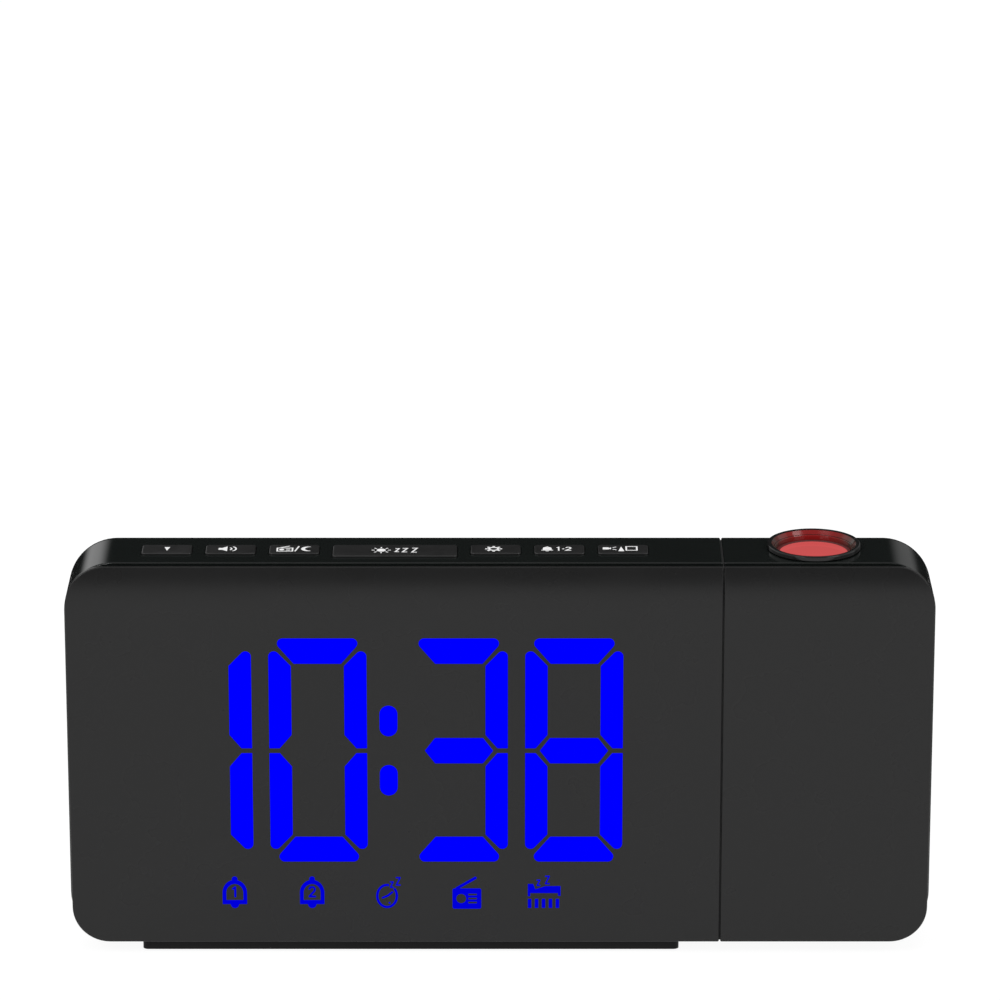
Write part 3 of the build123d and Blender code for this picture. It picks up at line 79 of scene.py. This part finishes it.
# ---------------------------------------------------------------- finishes
def surface(name, base, variation=0.08, patch=9.0, grain=0.35, relief=0.0, roughness=0.4, spread=0.05,
            shader=None):
    """A moulded, cast or rolled surface: soft patches of colour, a fine grain and slightly uneven gloss.

    Sizes are in millimetres: patch is the width of the colour's soft changes, grain is the texture's, and
    relief is its height."""
    material = bpy.data.materials.new(name)
    material.use_nodes = True
    tree = material.node_tree
    tree.nodes.clear()
    place = add(tree, "ShaderNodeTexCoord").outputs["Object"]
    patches = add(tree, "ShaderNodeTexNoise", {"Vector": place, "Scale": per_mm(patch), "Detail": 3.0})
    grains = add(tree, "ShaderNodeTexNoise", {"Vector": place, "Scale": per_mm(grain), "Detail": 2.0})
    tint = add(tree, "ShaderNodeMix", {"Factor": patches.outputs["Fac"], "A": colour(base, 1 - variation),
                                       "B": colour(base, 1 + variation)}, data_type="RGBA")
    gloss = add(tree, "ShaderNodeMapRange", {"Value": patches.outputs["Fac"],
                                             "From Min": 0.3, "From Max": 0.7,
                                             "To Min": max(roughness - spread, 0.02),
                                             "To Max": roughness + spread})
    inputs = {"Base Color": tint.outputs["Result"], "Roughness": gloss.outputs["Result"]}
    if relief:
        bump = add(tree, "ShaderNodeBump", {"Height": grains.outputs["Fac"], "Strength": 1.0,
                                            "Distance": relief * MM})
        inputs["Normal"] = bump.outputs["Normal"]
    inputs.update(shader or {})
    principled = add(tree, "ShaderNodeBsdfPrincipled", inputs)
    add(tree, "ShaderNodeOutputMaterial", {"Surface": principled.outputs["BSDF"]})
    return material


def lit(base, strength=1.0):
    """What a lit surface adds to its finish."""
    return {"Emission Color": colour(base), "Emission Strength": strength}


finishes = {
    # ABS from a spark-eroded mould: satin, with a grain so fine that it only softens reflections
    "cover_dark": surface("satin_moulded_abs", "#1B1B1B", 0.04, 14.0, 0.4, 0.0015, 0.28, 0.02, {"IOR": 1.34}),
    # the same plastic, smoked, over wells that are dark
    "segment_dark": surface("smoked_diffuser_unlit", "#1B1B1B", 0.04, 14.0, 0.4, 0.0015, 0.28, 0.02,
                            {"IOR": 1.34}),
    # smoked plastic over lit wells, even and saturated, without a sheen of its own
    "digit_blue": surface("smoked_diffuser_lit_blue", "#000010", 0.02, 5.0, 0.4, 0.0, 0.6, 0.0,
                          {**lit("#0000FF"), "Specular IOR Level": 0.0}),
    "icon_blue": surface("smoked_icon_lit_blue", "#000010", 0.02, 3.0, 0.4, 0.0, 0.6, 0.0,
                         {**lit("#0000D8"), "Specular IOR Level": 0.0}),
    # ABS from a polished mould: deep black with sharp reflections and faint handling haze
    "shell_black": surface("polished_black_abs", "#121514", 0.1, 18.0, 1.6, 0.0006, 0.11, 0.03,
                           {"IOR": 1.5}),
    "shell_matte": surface("textured_black_abs", "#171717", 0.08, 6.0, 0.45, 0.006, 0.5, 0.05, {"IOR": 1.46}),
    "key_dark": surface("satin_key_abs", "#1A1A1A", 0.06, 4.0, 0.35, 0.002, 0.38, 0.04, {"IOR": 1.46}),
    "foot_black": surface("foot_abs", "#0D0D0D", 0.08, 8.0, 0.5, 0.004, 0.45, 0.05, {"IOR": 1.26}),
    "pad_rubber": surface("pressed_rubber", "#141414", 0.15, 2.0, 0.3, 0.01, 0.85, 0.06, {"IOR": 1.5}),
    "grommet_rubber": surface("moulded_rubber", "#121212", 0.15, 1.5, 0.25, 0.006, 0.7, 0.06, {"IOR": 1.5}),
    "ring_black": surface("polished_ring_abs", "#1A1A1A", 0.08, 5.0, 0.8, 0.0006, 0.1, 0.03, {"IOR": 1.38}),
    # the lens's barrel: dull ABS, with a painted red glow for the lens's light falling on it
    "carrier_black": surface("dull_barrel_abs_painted_red_glow", "#1C0A0A", 0.08, 3.0, 0.3, 0.002, 0.5, 0.04,
                             {"IOR": 1.46, **lit("#5A1414", 0.6)}),
    # acrylic, lit from behind by a red lamp
    "lens_red": surface("red_lit_acrylic", "#5A1C1C", 0.05, 4.0, 1.0, 0.0, 0.06, 0.02,
                        {"IOR": 1.49, **lit("#CD5555", 0.78)}),
    "lens_clear": surface("clear_acrylic", "#EDF2F2", 0.02, 4.0, 1.0, 0.0, 0.05, 0.01,
                          {"IOR": 1.49, "Transmission Weight": 1.0}),
    "lcd_glass": surface("liquid_crystal_glass", "#39424A", 0.05, 3.0, 0.5, 0.0, 0.1, 0.02, {"IOR": 1.52}),
    "led_red": surface("red_epoxy", "#C8201C", 0.05, 2.0, 0.5, 0.0, 0.12, 0.02, {"IOR": 1.55}),
    "led_chip": surface("chip_ceramic", "#E9E6D4", 0.05, 1.0, 0.2, 0.001, 0.4, 0.05, {"IOR": 1.5}),
    "reflector_white": surface("white_reflector_abs", "#EDEDEA", 0.03, 8.0, 0.4, 0.002, 0.5, 0.04,
                               {"IOR": 1.5}),
    "board_green": surface("solder_mask", "#1E5B3A", 0.1, 2.5, 0.5, 0.003, 0.3, 0.05, {"IOR": 1.5}),
    "component_black": surface("moulded_package", "#1B1B1D", 0.1, 1.5, 0.25, 0.004, 0.55, 0.06, {"IOR": 1.5}),
    "plunger_white": surface("natural_nylon", "#E6E4DC", 0.04, 2.0, 0.3, 0.002, 0.45, 0.04, {"IOR": 1.53}),
    "plug_white": surface("natural_plug_nylon", "#E9E6DA", 0.04, 2.0, 0.3, 0.002, 0.45, 0.04, {"IOR": 1.53}),
    "bush_natural": surface("natural_acetal", "#DCD8CA", 0.04, 3.0, 0.3, 0.001, 0.35, 0.04, {"IOR": 1.48}),
    "hub_grey": surface("filled_nylon", "#4A4C4E", 0.08, 3.0, 0.3, 0.004, 0.5, 0.05, {"IOR": 1.53}),
    "optics_black": surface("dull_frame_abs", "#101010", 0.1, 4.0, 0.3, 0.004, 0.6, 0.05, {"IOR": 1.46}),
    "jack_black": surface("moulded_jack_nylon", "#151515", 0.1, 2.0, 0.25, 0.003, 0.45, 0.05, {"IOR": 1.53}),
    "lead_black": surface("lead_insulation", "#18181A", 0.08, 2.0, 0.3, 0.003, 0.5, 0.05, {"IOR": 1.5}),
    "screw_steel": surface("zinc_plated_steel", "#8C8F91", 0.12, 1.2, 0.15, 0.001, 0.3, 0.08,
                           {"Metallic": 1.0}),
    "spring_steel": surface("tempered_spring_steel", "#A0A3A5", 0.1, 1.5, 0.15, 0.001, 0.25, 0.06,
                            {"Metallic": 1.0}),
    "socket_steel": surface("nickel_plated_steel", "#B5B7B8", 0.08, 2.0, 0.2, 0.001, 0.22, 0.06,
                            {"Metallic": 1.0}),
    "cell_steel": surface("stainless_can", "#C4C6C6", 0.06, 3.0, 0.15, 0.001, 0.25, 0.05, {"Metallic": 1.0}),
    "contact_nickel": surface("nickel_plated_brass", "#B9B39A", 0.08, 1.5, 0.2, 0.001, 0.3, 0.06,
                              {"Metallic": 1.0}),
    "speaker_metal": surface("painted_pressed_steel", "#3A3C3E", 0.08, 3.0, 0.4, 0.003, 0.4, 0.05,
                             {"IOR": 1.5}),
    "speaker_paper": surface("pressed_paper", "#2A2724", 0.15, 1.5, 0.4, 0.02, 0.85, 0.05, {"IOR": 1.45}),
}
white_ink = surface("pad_printed_white_ink", "#E4E4E4", 0.06, 1.0, 0.2, 0.001, 0.5, 0.05, {"IOR": 1.5})
# felt that takes up the rattle between the case and the head: grey, with a nap that reflects nothing
felt = surface("grey_felt", "#3A3A3A", 0.2, 1.0, 0.2, 0.03, 0.95, 0.02, {"Specular IOR Level": 0.0})
# the two end walls that face each other at the seam: painted shade, a darker black than the shell's and with
# no reflection, so that the gap between the case and the head reads dark
seam_painted_shade = surface("end_wall_abs_painted_shade", "#0C0C0C", 0.1, 6.0, 0.4, 0.004, 0.9, 0.02,
                    {"Specular IOR Level": 0.0})

for part in frame["record"]["subparts"]:
    shown = nodes[part["node"]]
    shown.data.materials.clear()
    shown.data.materials.append(finishes[part["material_slot"]])


# ---------------------------------------------------------------- shells, covers and ring
def two_finishes(node, body, second, picks):
    """A copy of a CAD node with a second finish on the faces whose corners are all picked."""
    mesh = nodes[node].data.copy()
    mesh.name = node + "_finished"
    mesh.materials.append(second)
    for face in mesh.polygons:
        face.material_index = 1 if all(picks(mesh.vertices[i].co) for i in face.vertices) else 0
    piece = bpy.data.objects.new(node + "_finished", mesh)
    bpy.context.scene.collection.objects.link(piece)
    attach(piece, body)
    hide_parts(node)


# in millimetres: the two walls at the seam, and how near to one a corner counts as in it
case_end, head_end, same_plane = 48.25, 48.55, 0.005
for name, body, slot, wall_x in (("main_case", "case", "shell_black", case_end),
                                 ("display_cover", "case", "cover_dark", case_end),
                                 ("head_case", "head", "shell_black", head_end),
                                 ("head_cover", "head", "cover_dark", head_end)):
    two_finishes(name, body, seam_painted_shade, lambda co: abs(co.x - wall_x * MM) < same_plane * MM)

# the ring's funnel: painted light, a base colour that is the lens's red light on its far side and a warm grey
# on the near one
lens_low, lens_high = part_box("projection_lens")
lens_axis = Vector(((lens_low[0] + lens_high[0]) / 2, (lens_low[1] + lens_high[1]) / 2, 0))
ring_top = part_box("focus_ring")[1][2]
mouth_radius, funnel_depth, skirt_bore = 9.25, 1.35, 8.3  # in millimetres
red_from, red_full = 2.5, 8.0  # how far behind the lens's axis the painted red light sets in and is full


def in_funnel(corner):
    """Whether a corner of the ring lies in its bore or in the funnel above it."""
    reach = (corner - lens_axis).xy.length
    return (reach < skirt_bore * MM
            or reach < mouth_radius * MM and corner.z > ring_top - funnel_depth * MM)


funnel_painted_light = finishes["ring_black"].copy()
funnel_painted_light.name = "funnel_abs_painted_red_light"
tree = funnel_painted_light.node_tree
centred = add(tree, "ShaderNodeMapping", {"Vector": add(tree, "ShaderNodeTexCoord").outputs["Object"],
                                          "Location": -lens_axis})
back_share = add(tree, "ShaderNodeMapRange",
                 {"Value": add(tree, "ShaderNodeSeparateXYZ", {0: centred.outputs[0]}).outputs["Y"],
                  "From Min": red_from * MM, "From Max": red_full * MM})
# painted light: the base colour turns from warm grey to red towards the back of the funnel
painted_glow = add(tree, "ShaderNodeMix", {"Factor": back_share.outputs["Result"], "A": colour("#3A2D28"),
                                     "B": colour("#7A1616")}, data_type="RGBA")
shader = next(node for node in tree.nodes if node.bl_idname == "ShaderNodeBsdfPrincipled")
tree.links.new(painted_glow.outputs["Result"], shader.inputs["Base Color"])
two_finishes("focus_ring", "focus_ring_body", funnel_painted_light, in_funnel)


# ---------------------------------------------------------------- printed legends
def ribbon(points, width, closed=False):
    """A flat line of even width through points, as quads that meet in mitres."""
    points = [Vector(point) for point in points]
    count = len(points)
    sides = []
    for i, point in enumerate(points):
        ways = []
        if closed or i > 0:
            ways.append((point - points[i - 1]).normalized())
        if closed or i < count - 1:
            ways.append((points[(i + 1) % count] - point).normalized())
        way = sum(ways, Vector((0.0, 0.0))).normalized()
        across = Vector((-way.y, way.x))
        reach = width / 2 / max(way.dot(ways[0]), 0.45)
        sides.append((point - across * reach, point + across * reach))
    return [[sides[i][0], sides[(i + 1) % count][0], sides[(i + 1) % count][1], sides[i][1]]
            for i in range(count if closed else count - 1)]


def arc(centre, radius, start, end, steps=12):
    """Points on an arc, from a start to an end angle in degrees."""
    angles = [math.radians(start + (end - start) * i / steps) for i in range(steps + 1)]
    return [(centre[0] + radius * math.cos(a), centre[1] + radius * math.sin(a)) for a in angles]


def disc(centre, radius, steps=20):
    return [arc(centre, radius, 0, 360 - 360 / steps, steps - 1)]


def moved(faces, x, y):
    return [[(corner[0] + x, corner[1] + y) for corner in face] for face in faces]


def bars_tree(name, around):
    """Geometry Nodes that repeat a bar round a circle, or side by side in a row."""
    tree = bpy.data.node_groups.new(name, "GeometryNodeTree")
    for label, kind in (("Count", "Int"), ("Reach", "Float"), ("Bar length", "Float"), ("Bar width", "Float"),
                        ("Bar height", "Float"), ("Finish", "Material")):
        tree.interface.new_socket(label, in_out="INPUT", socket_type="NodeSocket" + kind)
    tree.interface.new_socket("Bars", in_out="OUTPUT", socket_type="NodeSocketGeometry")
    given = add(tree, "NodeGroupInput").outputs
    size = add(tree, "ShaderNodeCombineXYZ", {"X": given["Bar length"], "Y": given["Bar width"],
                                              "Z": given["Bar height"]})
    bar = add(tree, "GeometryNodeMeshCube", {"Size": size.outputs["Vector"]})
    if around:
        places = add(tree, "GeometryNodeMeshCircle", {"Vertices": given["Count"], "Radius": given["Reach"]})
        turn = add(tree, "FunctionNodeAlignRotationToVector",
                   {"Vector": add(tree, "GeometryNodeInputPosition").outputs["Position"]}, axis="X")
        turned = {"Rotation": turn.outputs["Rotation"]}
    else:
        step = add(tree, "ShaderNodeCombineXYZ", {"Y": given["Reach"]})
        places = add(tree, "GeometryNodeMeshLine",
                     {"Count": given["Count"], "Offset": step.outputs["Vector"]})
        turned = {}
    spread = add(tree, "GeometryNodeInstanceOnPoints",
                 {"Points": places.outputs["Mesh"], "Instance": bar.outputs["Mesh"], **turned})
    real = add(tree, "GeometryNodeRealizeInstances", {"Geometry": spread.outputs["Instances"]})
    dressed = add(tree, "GeometryNodeSetMaterial",
                  {"Geometry": real.outputs["Geometry"], "Material": given["Finish"]})
    add(tree, "NodeGroupOutput", {"Bars": dressed.outputs["Geometry"]})
    return tree


def bars(name, tree, sizes, frame_of, body):
    """Bars made by a tree from named sizes in millimetres, in place and riding on a body."""
    holder = bpy.data.objects.new(name, bpy.data.meshes.new(name))
    bpy.context.scene.collection.objects.link(holder)
    nodes_modifier = holder.modifiers.new("bars", "NODES")
    nodes_modifier.node_group = tree
    for item in tree.interface.items_tree:
        if item.in_out == "INPUT":
            value = sizes[item.name]
            nodes_modifier[item.identifier] = value * MM if isinstance(value, float) else value
    evaluated = holder.evaluated_get(bpy.context.evaluated_depsgraph_get())
    mesh = bpy.data.meshes.new_from_object(evaluated)
    bpy.data.objects.remove(holder)
    mesh.transform(frame_of)
    piece = bpy.data.objects.new(name, mesh)
    bpy.context.scene.collection.objects.link(piece)
    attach(piece, body)


def laid(centre, across, up):
    """The matrix that lays a flat drawing on a surface, its middle at a place in millimetres."""
    out = Vector(across).cross(Vector(up))
    turned = Matrix((across, up, out)).transposed().to_4x4()
    return Matrix.Translation(Vector(centre) * MM) @ turned


ink_height, weld_reach = 0.02, 0.002  # in millimetres


def printed(name, faces, frame_of, body, finish=white_ink, height=ink_height):
    """Flat shapes in millimetres, printed or glued on a surface."""
    form = bmesh.new()
    for face in faces:
        made = form.faces.new([form.verts.new((corner[0] * MM, corner[1] * MM, 0)) for corner in face])
        made.normal_update()
        if made.normal.z < 0:
            made.normal_flip()
    bmesh.ops.remove_doubles(form, verts=form.verts, dist=weld_reach * MM)
    mesh = bpy.data.meshes.new(name)
    form.to_mesh(mesh)
    form.free()
    mesh.transform(frame_of)
    mesh.materials.append(finish)
    piece = bpy.data.objects.new(name, mesh)
    bpy.context.scene.collection.objects.link(piece)
    solid = piece.modifiers.new("height", "SOLIDIFY")
    solid.thickness = height * MM
    solid.offset = 1.0
    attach(piece, body)


def zigzag(width, height, line):
    """The stroke of a letter z."""
    x, y = width / 2, height / 2
    return ribbon([(-x, y), (x, y), (-x, -y), (x, -y)], line)


# the felt strip round the case's end wall, drawn in (y, z), half a millimetre inside the outline
felt_width, felt_gap = 3.0, 0.02
felt_path = ([(-17.0, 4.9), (-17.0, 80.0), (-16.2, 87.2), (-14.5, 88.1)]
             + arc((0.5, 84.6), 3.5, 90, 0, 6) + arc((0.5, 8.4), 3.5, 0, -90, 6))
printed("seam_felt", ribbon(felt_path, felt_width, closed=True),
        laid((case_end + felt_gap, 0, 0), (0, 1, 0), (0, 0, 1)), "case", felt,
        head_end - case_end - 2 * felt_gap)

line = 0.34
one = ribbon([(-0.35, 0.75), (0.05, 1.15), (0.05, -1.2)], line)
two = ribbon([(-0.55, 0.65), (-0.25, 1.1), (0.25, 1.1), (0.52, 0.65), (0.4, 0.1),
              (-0.55, -1.05), (0.6, -1.05)], line)
bell = ([arc((0, 0.35), 0.95, 180, 0) + [(0.95, -0.75), (-0.95, -0.75)]]
        + ribbon([(-1.25, -0.9), (1.25, -0.9)], 0.4) + disc((0, -1.25), 0.4) + disc((0, 1.35), 0.28))
moon = [arc((0, 0), 1.55, 75, 285, 16) + arc((0.62, 0), 1.32, 268, 92, 16)]
legends = {
    "down": [[(-0.62, 1.2), (0.0, -1.2), (0.62, 1.2)]],
    "volume": moved([[(-2.0, -0.6), (-1.2, -0.6), (-0.1, -1.6), (-0.1, 1.6), (-1.2, 0.6), (-2.0, 0.6)]]
                    + ribbon(arc((-0.2, 0), 1.05, -48, 48), line)
                    + ribbon(arc((-0.2, 0), 2.0, -48, 48), line),
                    -0.65, 0),
    "radio": ribbon([(-3.7, -1.6), (-0.4, -1.6), (-0.4, 0.6), (-3.7, 0.6)], line, closed=True)
             + disc((-2.75, -0.5), 0.55) + ribbon([(-1.8, -0.1), (-0.9, -0.1)], 0.3)
             + ribbon([(-1.8, -0.9), (-0.9, -0.9)], 0.3) + ribbon([(-3.3, 0.7), (-1.1, 1.9)], line)
             + ribbon([(0.15, -1.7), (0.95, 1.8)], line) + moved(moon, 3.0, 0),
    "snooze": disc((-3.0, 0), 1.0) + moved(zigzag(0.8, 2.2, line), 0.48, 0)
              + moved(zigzag(1.05, 2.5, line), 2.15, 0) + moved(zigzag(1.1, 2.8, line), 4.25, 0),
    "set": moved(ribbon(arc((0, 0), 1.0, 0, 345, 23), 0.5, closed=True), -0.45, 0),
    "alarm": moved(bell, -2.65, 0) + moved(one, -0.2, 0) + disc((0.85, 0), 0.25) + moved(two, 1.95, 0),
    "project": moved([[(-0.65, -1.7), (0.65, -1.7), (0.0, 1.5)]], -0.4, 0.1)
               + moved([[(-4.4, -0.7), (-3.1, -0.7), (-3.1, 0.7), (-4.4, 0.7)],
                        [(-3.1, -0.3), (-2.6, -0.65), (-2.6, 0.65), (-3.1, 0.3)]]
                       + ribbon([(-2.25, 0.55), (-1.45, 1.0)], 0.28)
                       + ribbon([(-2.25, -0.55), (-1.45, -1.0)], 0.28)
                       + ribbon([(0.7, -1.3), (3.0, -1.3), (3.0, 1.3), (0.7, 1.3)], line, closed=True),
                       0, 0.3),
}
key_places = {}
for name in legends:
    low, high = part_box(f"key_{name}")
    key_places[name] = Vector(((low[0] + high[0]) / 2, (low[1] + high[1]) / 2, high[2])) / MM
for name, faces in legends.items():
    printed(f"legend_{name}", faces, laid(key_places[name], (1, 0, 0), (0, 1, 0)), f"{name}_button")
round_tree = bars_tree("bars_round_a_circle", True)
row_tree = bars_tree("bars_in_a_row", False)
for name, shift, reach, length, width in (("snooze", -3.0, 1.75, 0.65, 0.3), ("set", -0.45, 1.5, 0.7, 0.5)):
    centre = key_places[name] + Vector((shift, 0, ink_height / 2))
    bars(f"legend_{name}_rays", round_tree,
         {"Count": 8, "Reach": reach, "Bar length": length, "Bar width": width, "Bar height": ink_height,
          "Finish": white_ink}, laid(centre, (1, 0, 0), (0, 1, 0)), f"{name}_button")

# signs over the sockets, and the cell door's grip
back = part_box("power_jack")[1][1] / MM
sign_rise = 7.9  # in millimetres, over a socket's middle and clear of the cell door


def above(node):
    """The place for a sign on the back wall, above a socket."""
    low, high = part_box(node)
    return ((low[0] + high[0]) / 2 / MM, back, (low[2] + high[2]) / 2 / MM + sign_rise)


polarity = (ribbon(arc((0, 0), 1.5, 40, 320, 16), 0.35) + disc((0, 0), 0.5)
            + ribbon([(0.3, 0), (2.6, 0)], 0.35) + ribbon([(-1.5, 0), (-2.6, 0)], 0.35)
            + ribbon([(-4.6, 0), (-3.3, 0)], 0.35) + ribbon([(3.3, 0), (4.6, 0)], 0.35)
            + ribbon([(3.95, -0.65), (3.95, 0.65)], 0.35))
bolt = [[(0.5, 2.0), (-1.0, -0.3), (-0.1, -0.3), (-0.5, -2.0), (1.0, 0.4), (0.1, 0.4)]]
aerial = (ribbon([(0, -1.9), (0, 1.8)], 0.38) + ribbon([(-1.4, 1.8), (0, 0.3), (1.4, 1.8)], 0.38))
for name, faces, node in (("sign_power", polarity, "power_jack"), ("sign_charging", bolt, "usb_socket"),
                          ("sign_aerial", aerial, "aerial_grommet")):
    printed(name, faces, laid(above(node), (-1, 0, 0), (0, 0, 1)), "case")

door_low, door_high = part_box("battery_door")
door_x = (door_low[0] + door_high[0]) / 2 / MM
door_top = door_high[2] / MM
grip_sunk, grip_drop = 0.45, 2.9  # in millimetres, into the back wall and down from the door's top
bars("door_grip", row_tree, {"Count": 3, "Reach": 0.9, "Bar length": 4.6, "Bar width": 0.4, "Bar height": 0.5,
                             "Finish": finishes["shell_matte"]},
     laid((door_x, back - grip_sunk, door_top - grip_drop), (-1, 0, 0), (0, 0, 1)),
     "cell_door")


# ---------------------------------------------------------------- studio
camera_pitch = 17.7  # degrees below the horizontal, looking along +Y
camera_data = bpy.data.cameras.new("camera")
camera_data.lens = 204.05
camera_data.sensor_width = 36.0
camera_data.clip_start = 0.05
camera = bpy.data.objects.new("camera", camera_data)
camera.location = (0.00003, -1.1794, 0.4756)
camera.rotation_euler = (math.radians(90 - camera_pitch), 0, 0)
bpy.context.scene.collection.objects.link(camera)
bpy.context.scene.camera = camera


def softbox(name, place, aim, size, power):
    """A square lamp that the camera doesn't see."""
    data = bpy.data.lights.new(name, "AREA")
    data.shape = "RECTANGLE"
    data.size = size
    data.size_y = size
    data.energy = power
    lamp = bpy.data.objects.new(name, data)
    lamp.location = place
    lamp.rotation_euler = (Vector(aim) - Vector(place)).to_track_quat("-Z", "Y").to_euler()
    lamp.visible_camera = False
    bpy.context.scene.collection.objects.link(lamp)


middle = (0.0, 0.0, 0.05)
softbox("key_softbox", (-0.9, -1.1, 1.3), middle, 0.8, 14.0)
softbox("fill_softbox", (1.1, -0.9, 1.0), middle, 0.8, 8.0)
softbox("top_softbox", (0.0, 0.1, 1.6), middle, 1.0, 10.0)


def seen_directly(tree):
    """1 for what the camera sees, straight, in a reflection or through glass, and 0 for lighting."""
    path = add(tree, "ShaderNodeLightPath")
    total = path.outputs["Is Camera Ray"]
    for ray in ("Is Glossy Ray", "Is Transmission Ray"):
        total = add(tree, "ShaderNodeMath", {0: total, 1: path.outputs[ray]}, operation="MAXIMUM").outputs[0]
    return total


def sheet(name, ends, first, second, material):
    """A flat card or floor between two places on X and two level edges, each given as its (y, z)."""
    left, right = ends
    mesh = bpy.data.meshes.new(name)
    mesh.from_pydata([(left, *first), (right, *first), (right, *second), (left, *second)], [], [(0, 1, 2, 3)])
    mesh.materials.append(material)
    obj = bpy.data.objects.new(name, mesh)
    bpy.context.scene.collection.objects.link(obj)
    return obj


floor_paper = bpy.data.materials.new("white_backdrop_paper")
floor_paper.use_nodes = True
tree = floor_paper.node_tree
tree.nodes.clear()
matt = add(tree, "ShaderNodeBsdfDiffuse", {"Color": colour("#F4F4F4")})
shaded = add(tree, "ShaderNodeBsdfDiffuse", {"Color": colour("#606060")})
glow = add(tree, "ShaderNodeEmission", {"Color": (1, 1, 1, 1), "Strength": 0.93})
bright = add(tree, "ShaderNodeAddShader", {0: shaded.outputs[0], 1: glow.outputs[0]})
mixed = add(tree, "ShaderNodeMixShader", {0: seen_directly(tree), 1: matt.outputs[0], 2: bright.outputs[0]})
add(tree, "ShaderNodeOutputMaterial", {"Surface": mixed.outputs[0]})
floor_reach = 8
sheet("floor", (-floor_reach, floor_reach), (-floor_reach, 0), (floor_reach, 0), floor_paper)


def card(name, ends, first, second, dark, bright=None, spread=None):
    """A card that only reflections see: even, or brightening from one place on an axis to another."""
    paper = bpy.data.materials.new(name)
    paper.use_nodes = True
    tree = paper.node_tree
    tree.nodes.clear()
    glows = [add(tree, "ShaderNodeEmission", {"Color": (level, level, level, 1), "Strength": 1.0}).outputs[0]
             for level in (dark, dark if bright is None else bright)]
    share = 0.0
    if spread:
        place = add(tree, "ShaderNodeSeparateXYZ", {0: add(tree, "ShaderNodeTexCoord").outputs["Object"]})
        ramps = [add(tree, "ShaderNodeMapRange",
                     {"Value": place.outputs[axis], "From Min": low, "From Max": high},
                     interpolation_type="SMOOTHSTEP").outputs["Result"] for axis, low, high in spread]
        share = add(tree, "ShaderNodeMath", {0: ramps[0], 1: ramps[1]}, operation="MULTIPLY").outputs[0]
    mixed = add(tree, "ShaderNodeMixShader", {0: share, 1: glows[0], 2: glows[1]})
    add(tree, "ShaderNodeOutputMaterial", {"Surface": mixed.outputs[0]})
    flat = sheet(name, ends, first, second, paper)
    flat.visible_camera = False
    flat.visible_diffuse = False
    flat.visible_shadow = False


# behind the clock: its polished top reflects darkness, and its round corners the soft bright sides
card_reach, card_back = 0.7, 0.32
card_foot, card_top = (card_back, 0.001), (card_back, 0.4)
rear_dark, left_bright, right_bright = 0.012, 0.77, 0.28
side_from, side_full = 0.125, 0.178
rising = ("Z", 0.068, 0.125)
card("rear_left_card", (-card_reach, 0), card_foot, card_top, rear_dark, left_bright,
     (("X", -side_from, -side_full), rising))
card("rear_right_card", (0, card_reach), card_foot, card_top, rear_dark, right_bright,
     (("X", side_from, side_full), rising))
lifted = 0.0005  # off the floor, so that the two don't share a plane
card("rear_floor_card", (-card_reach, card_reach), (0.05, lifted), (card_back, lifted), rear_dark)
# over the clock, for the rounded edges, and before it, so that the face darkens where it leans back
top_bright, front_dark = 0.42, 0.024
card("top_card", (-2.0, 2.0), (2.0, 1.25), (-1.15, 1.25), top_bright)
card("front_card", (-2.2, 2.2), (-1.9, 0.12), (-1.2, 2.4), front_dark)

world = bpy.data.worlds.new("studio")
bpy.context.scene.world = world
world.use_nodes = True
tree = world.node_tree
tree.nodes.clear()
# the white room looks brighter than the light it gives
room_light, room_seen = 0.45, 1.0
strength = add(tree, "ShaderNodeMapRange", {"Value": seen_directly(tree), "To Min": room_light,
                                            "To Max": room_seen})
sky = add(tree, "ShaderNodeBackground", {"Color": (1, 1, 1, 1), "Strength": strength.outputs["Result"]})
add(tree, "ShaderNodeOutputWorld", {"Surface": sky.outputs[0]})
bpy.context.scene.view_settings.view_transform = "Standard"
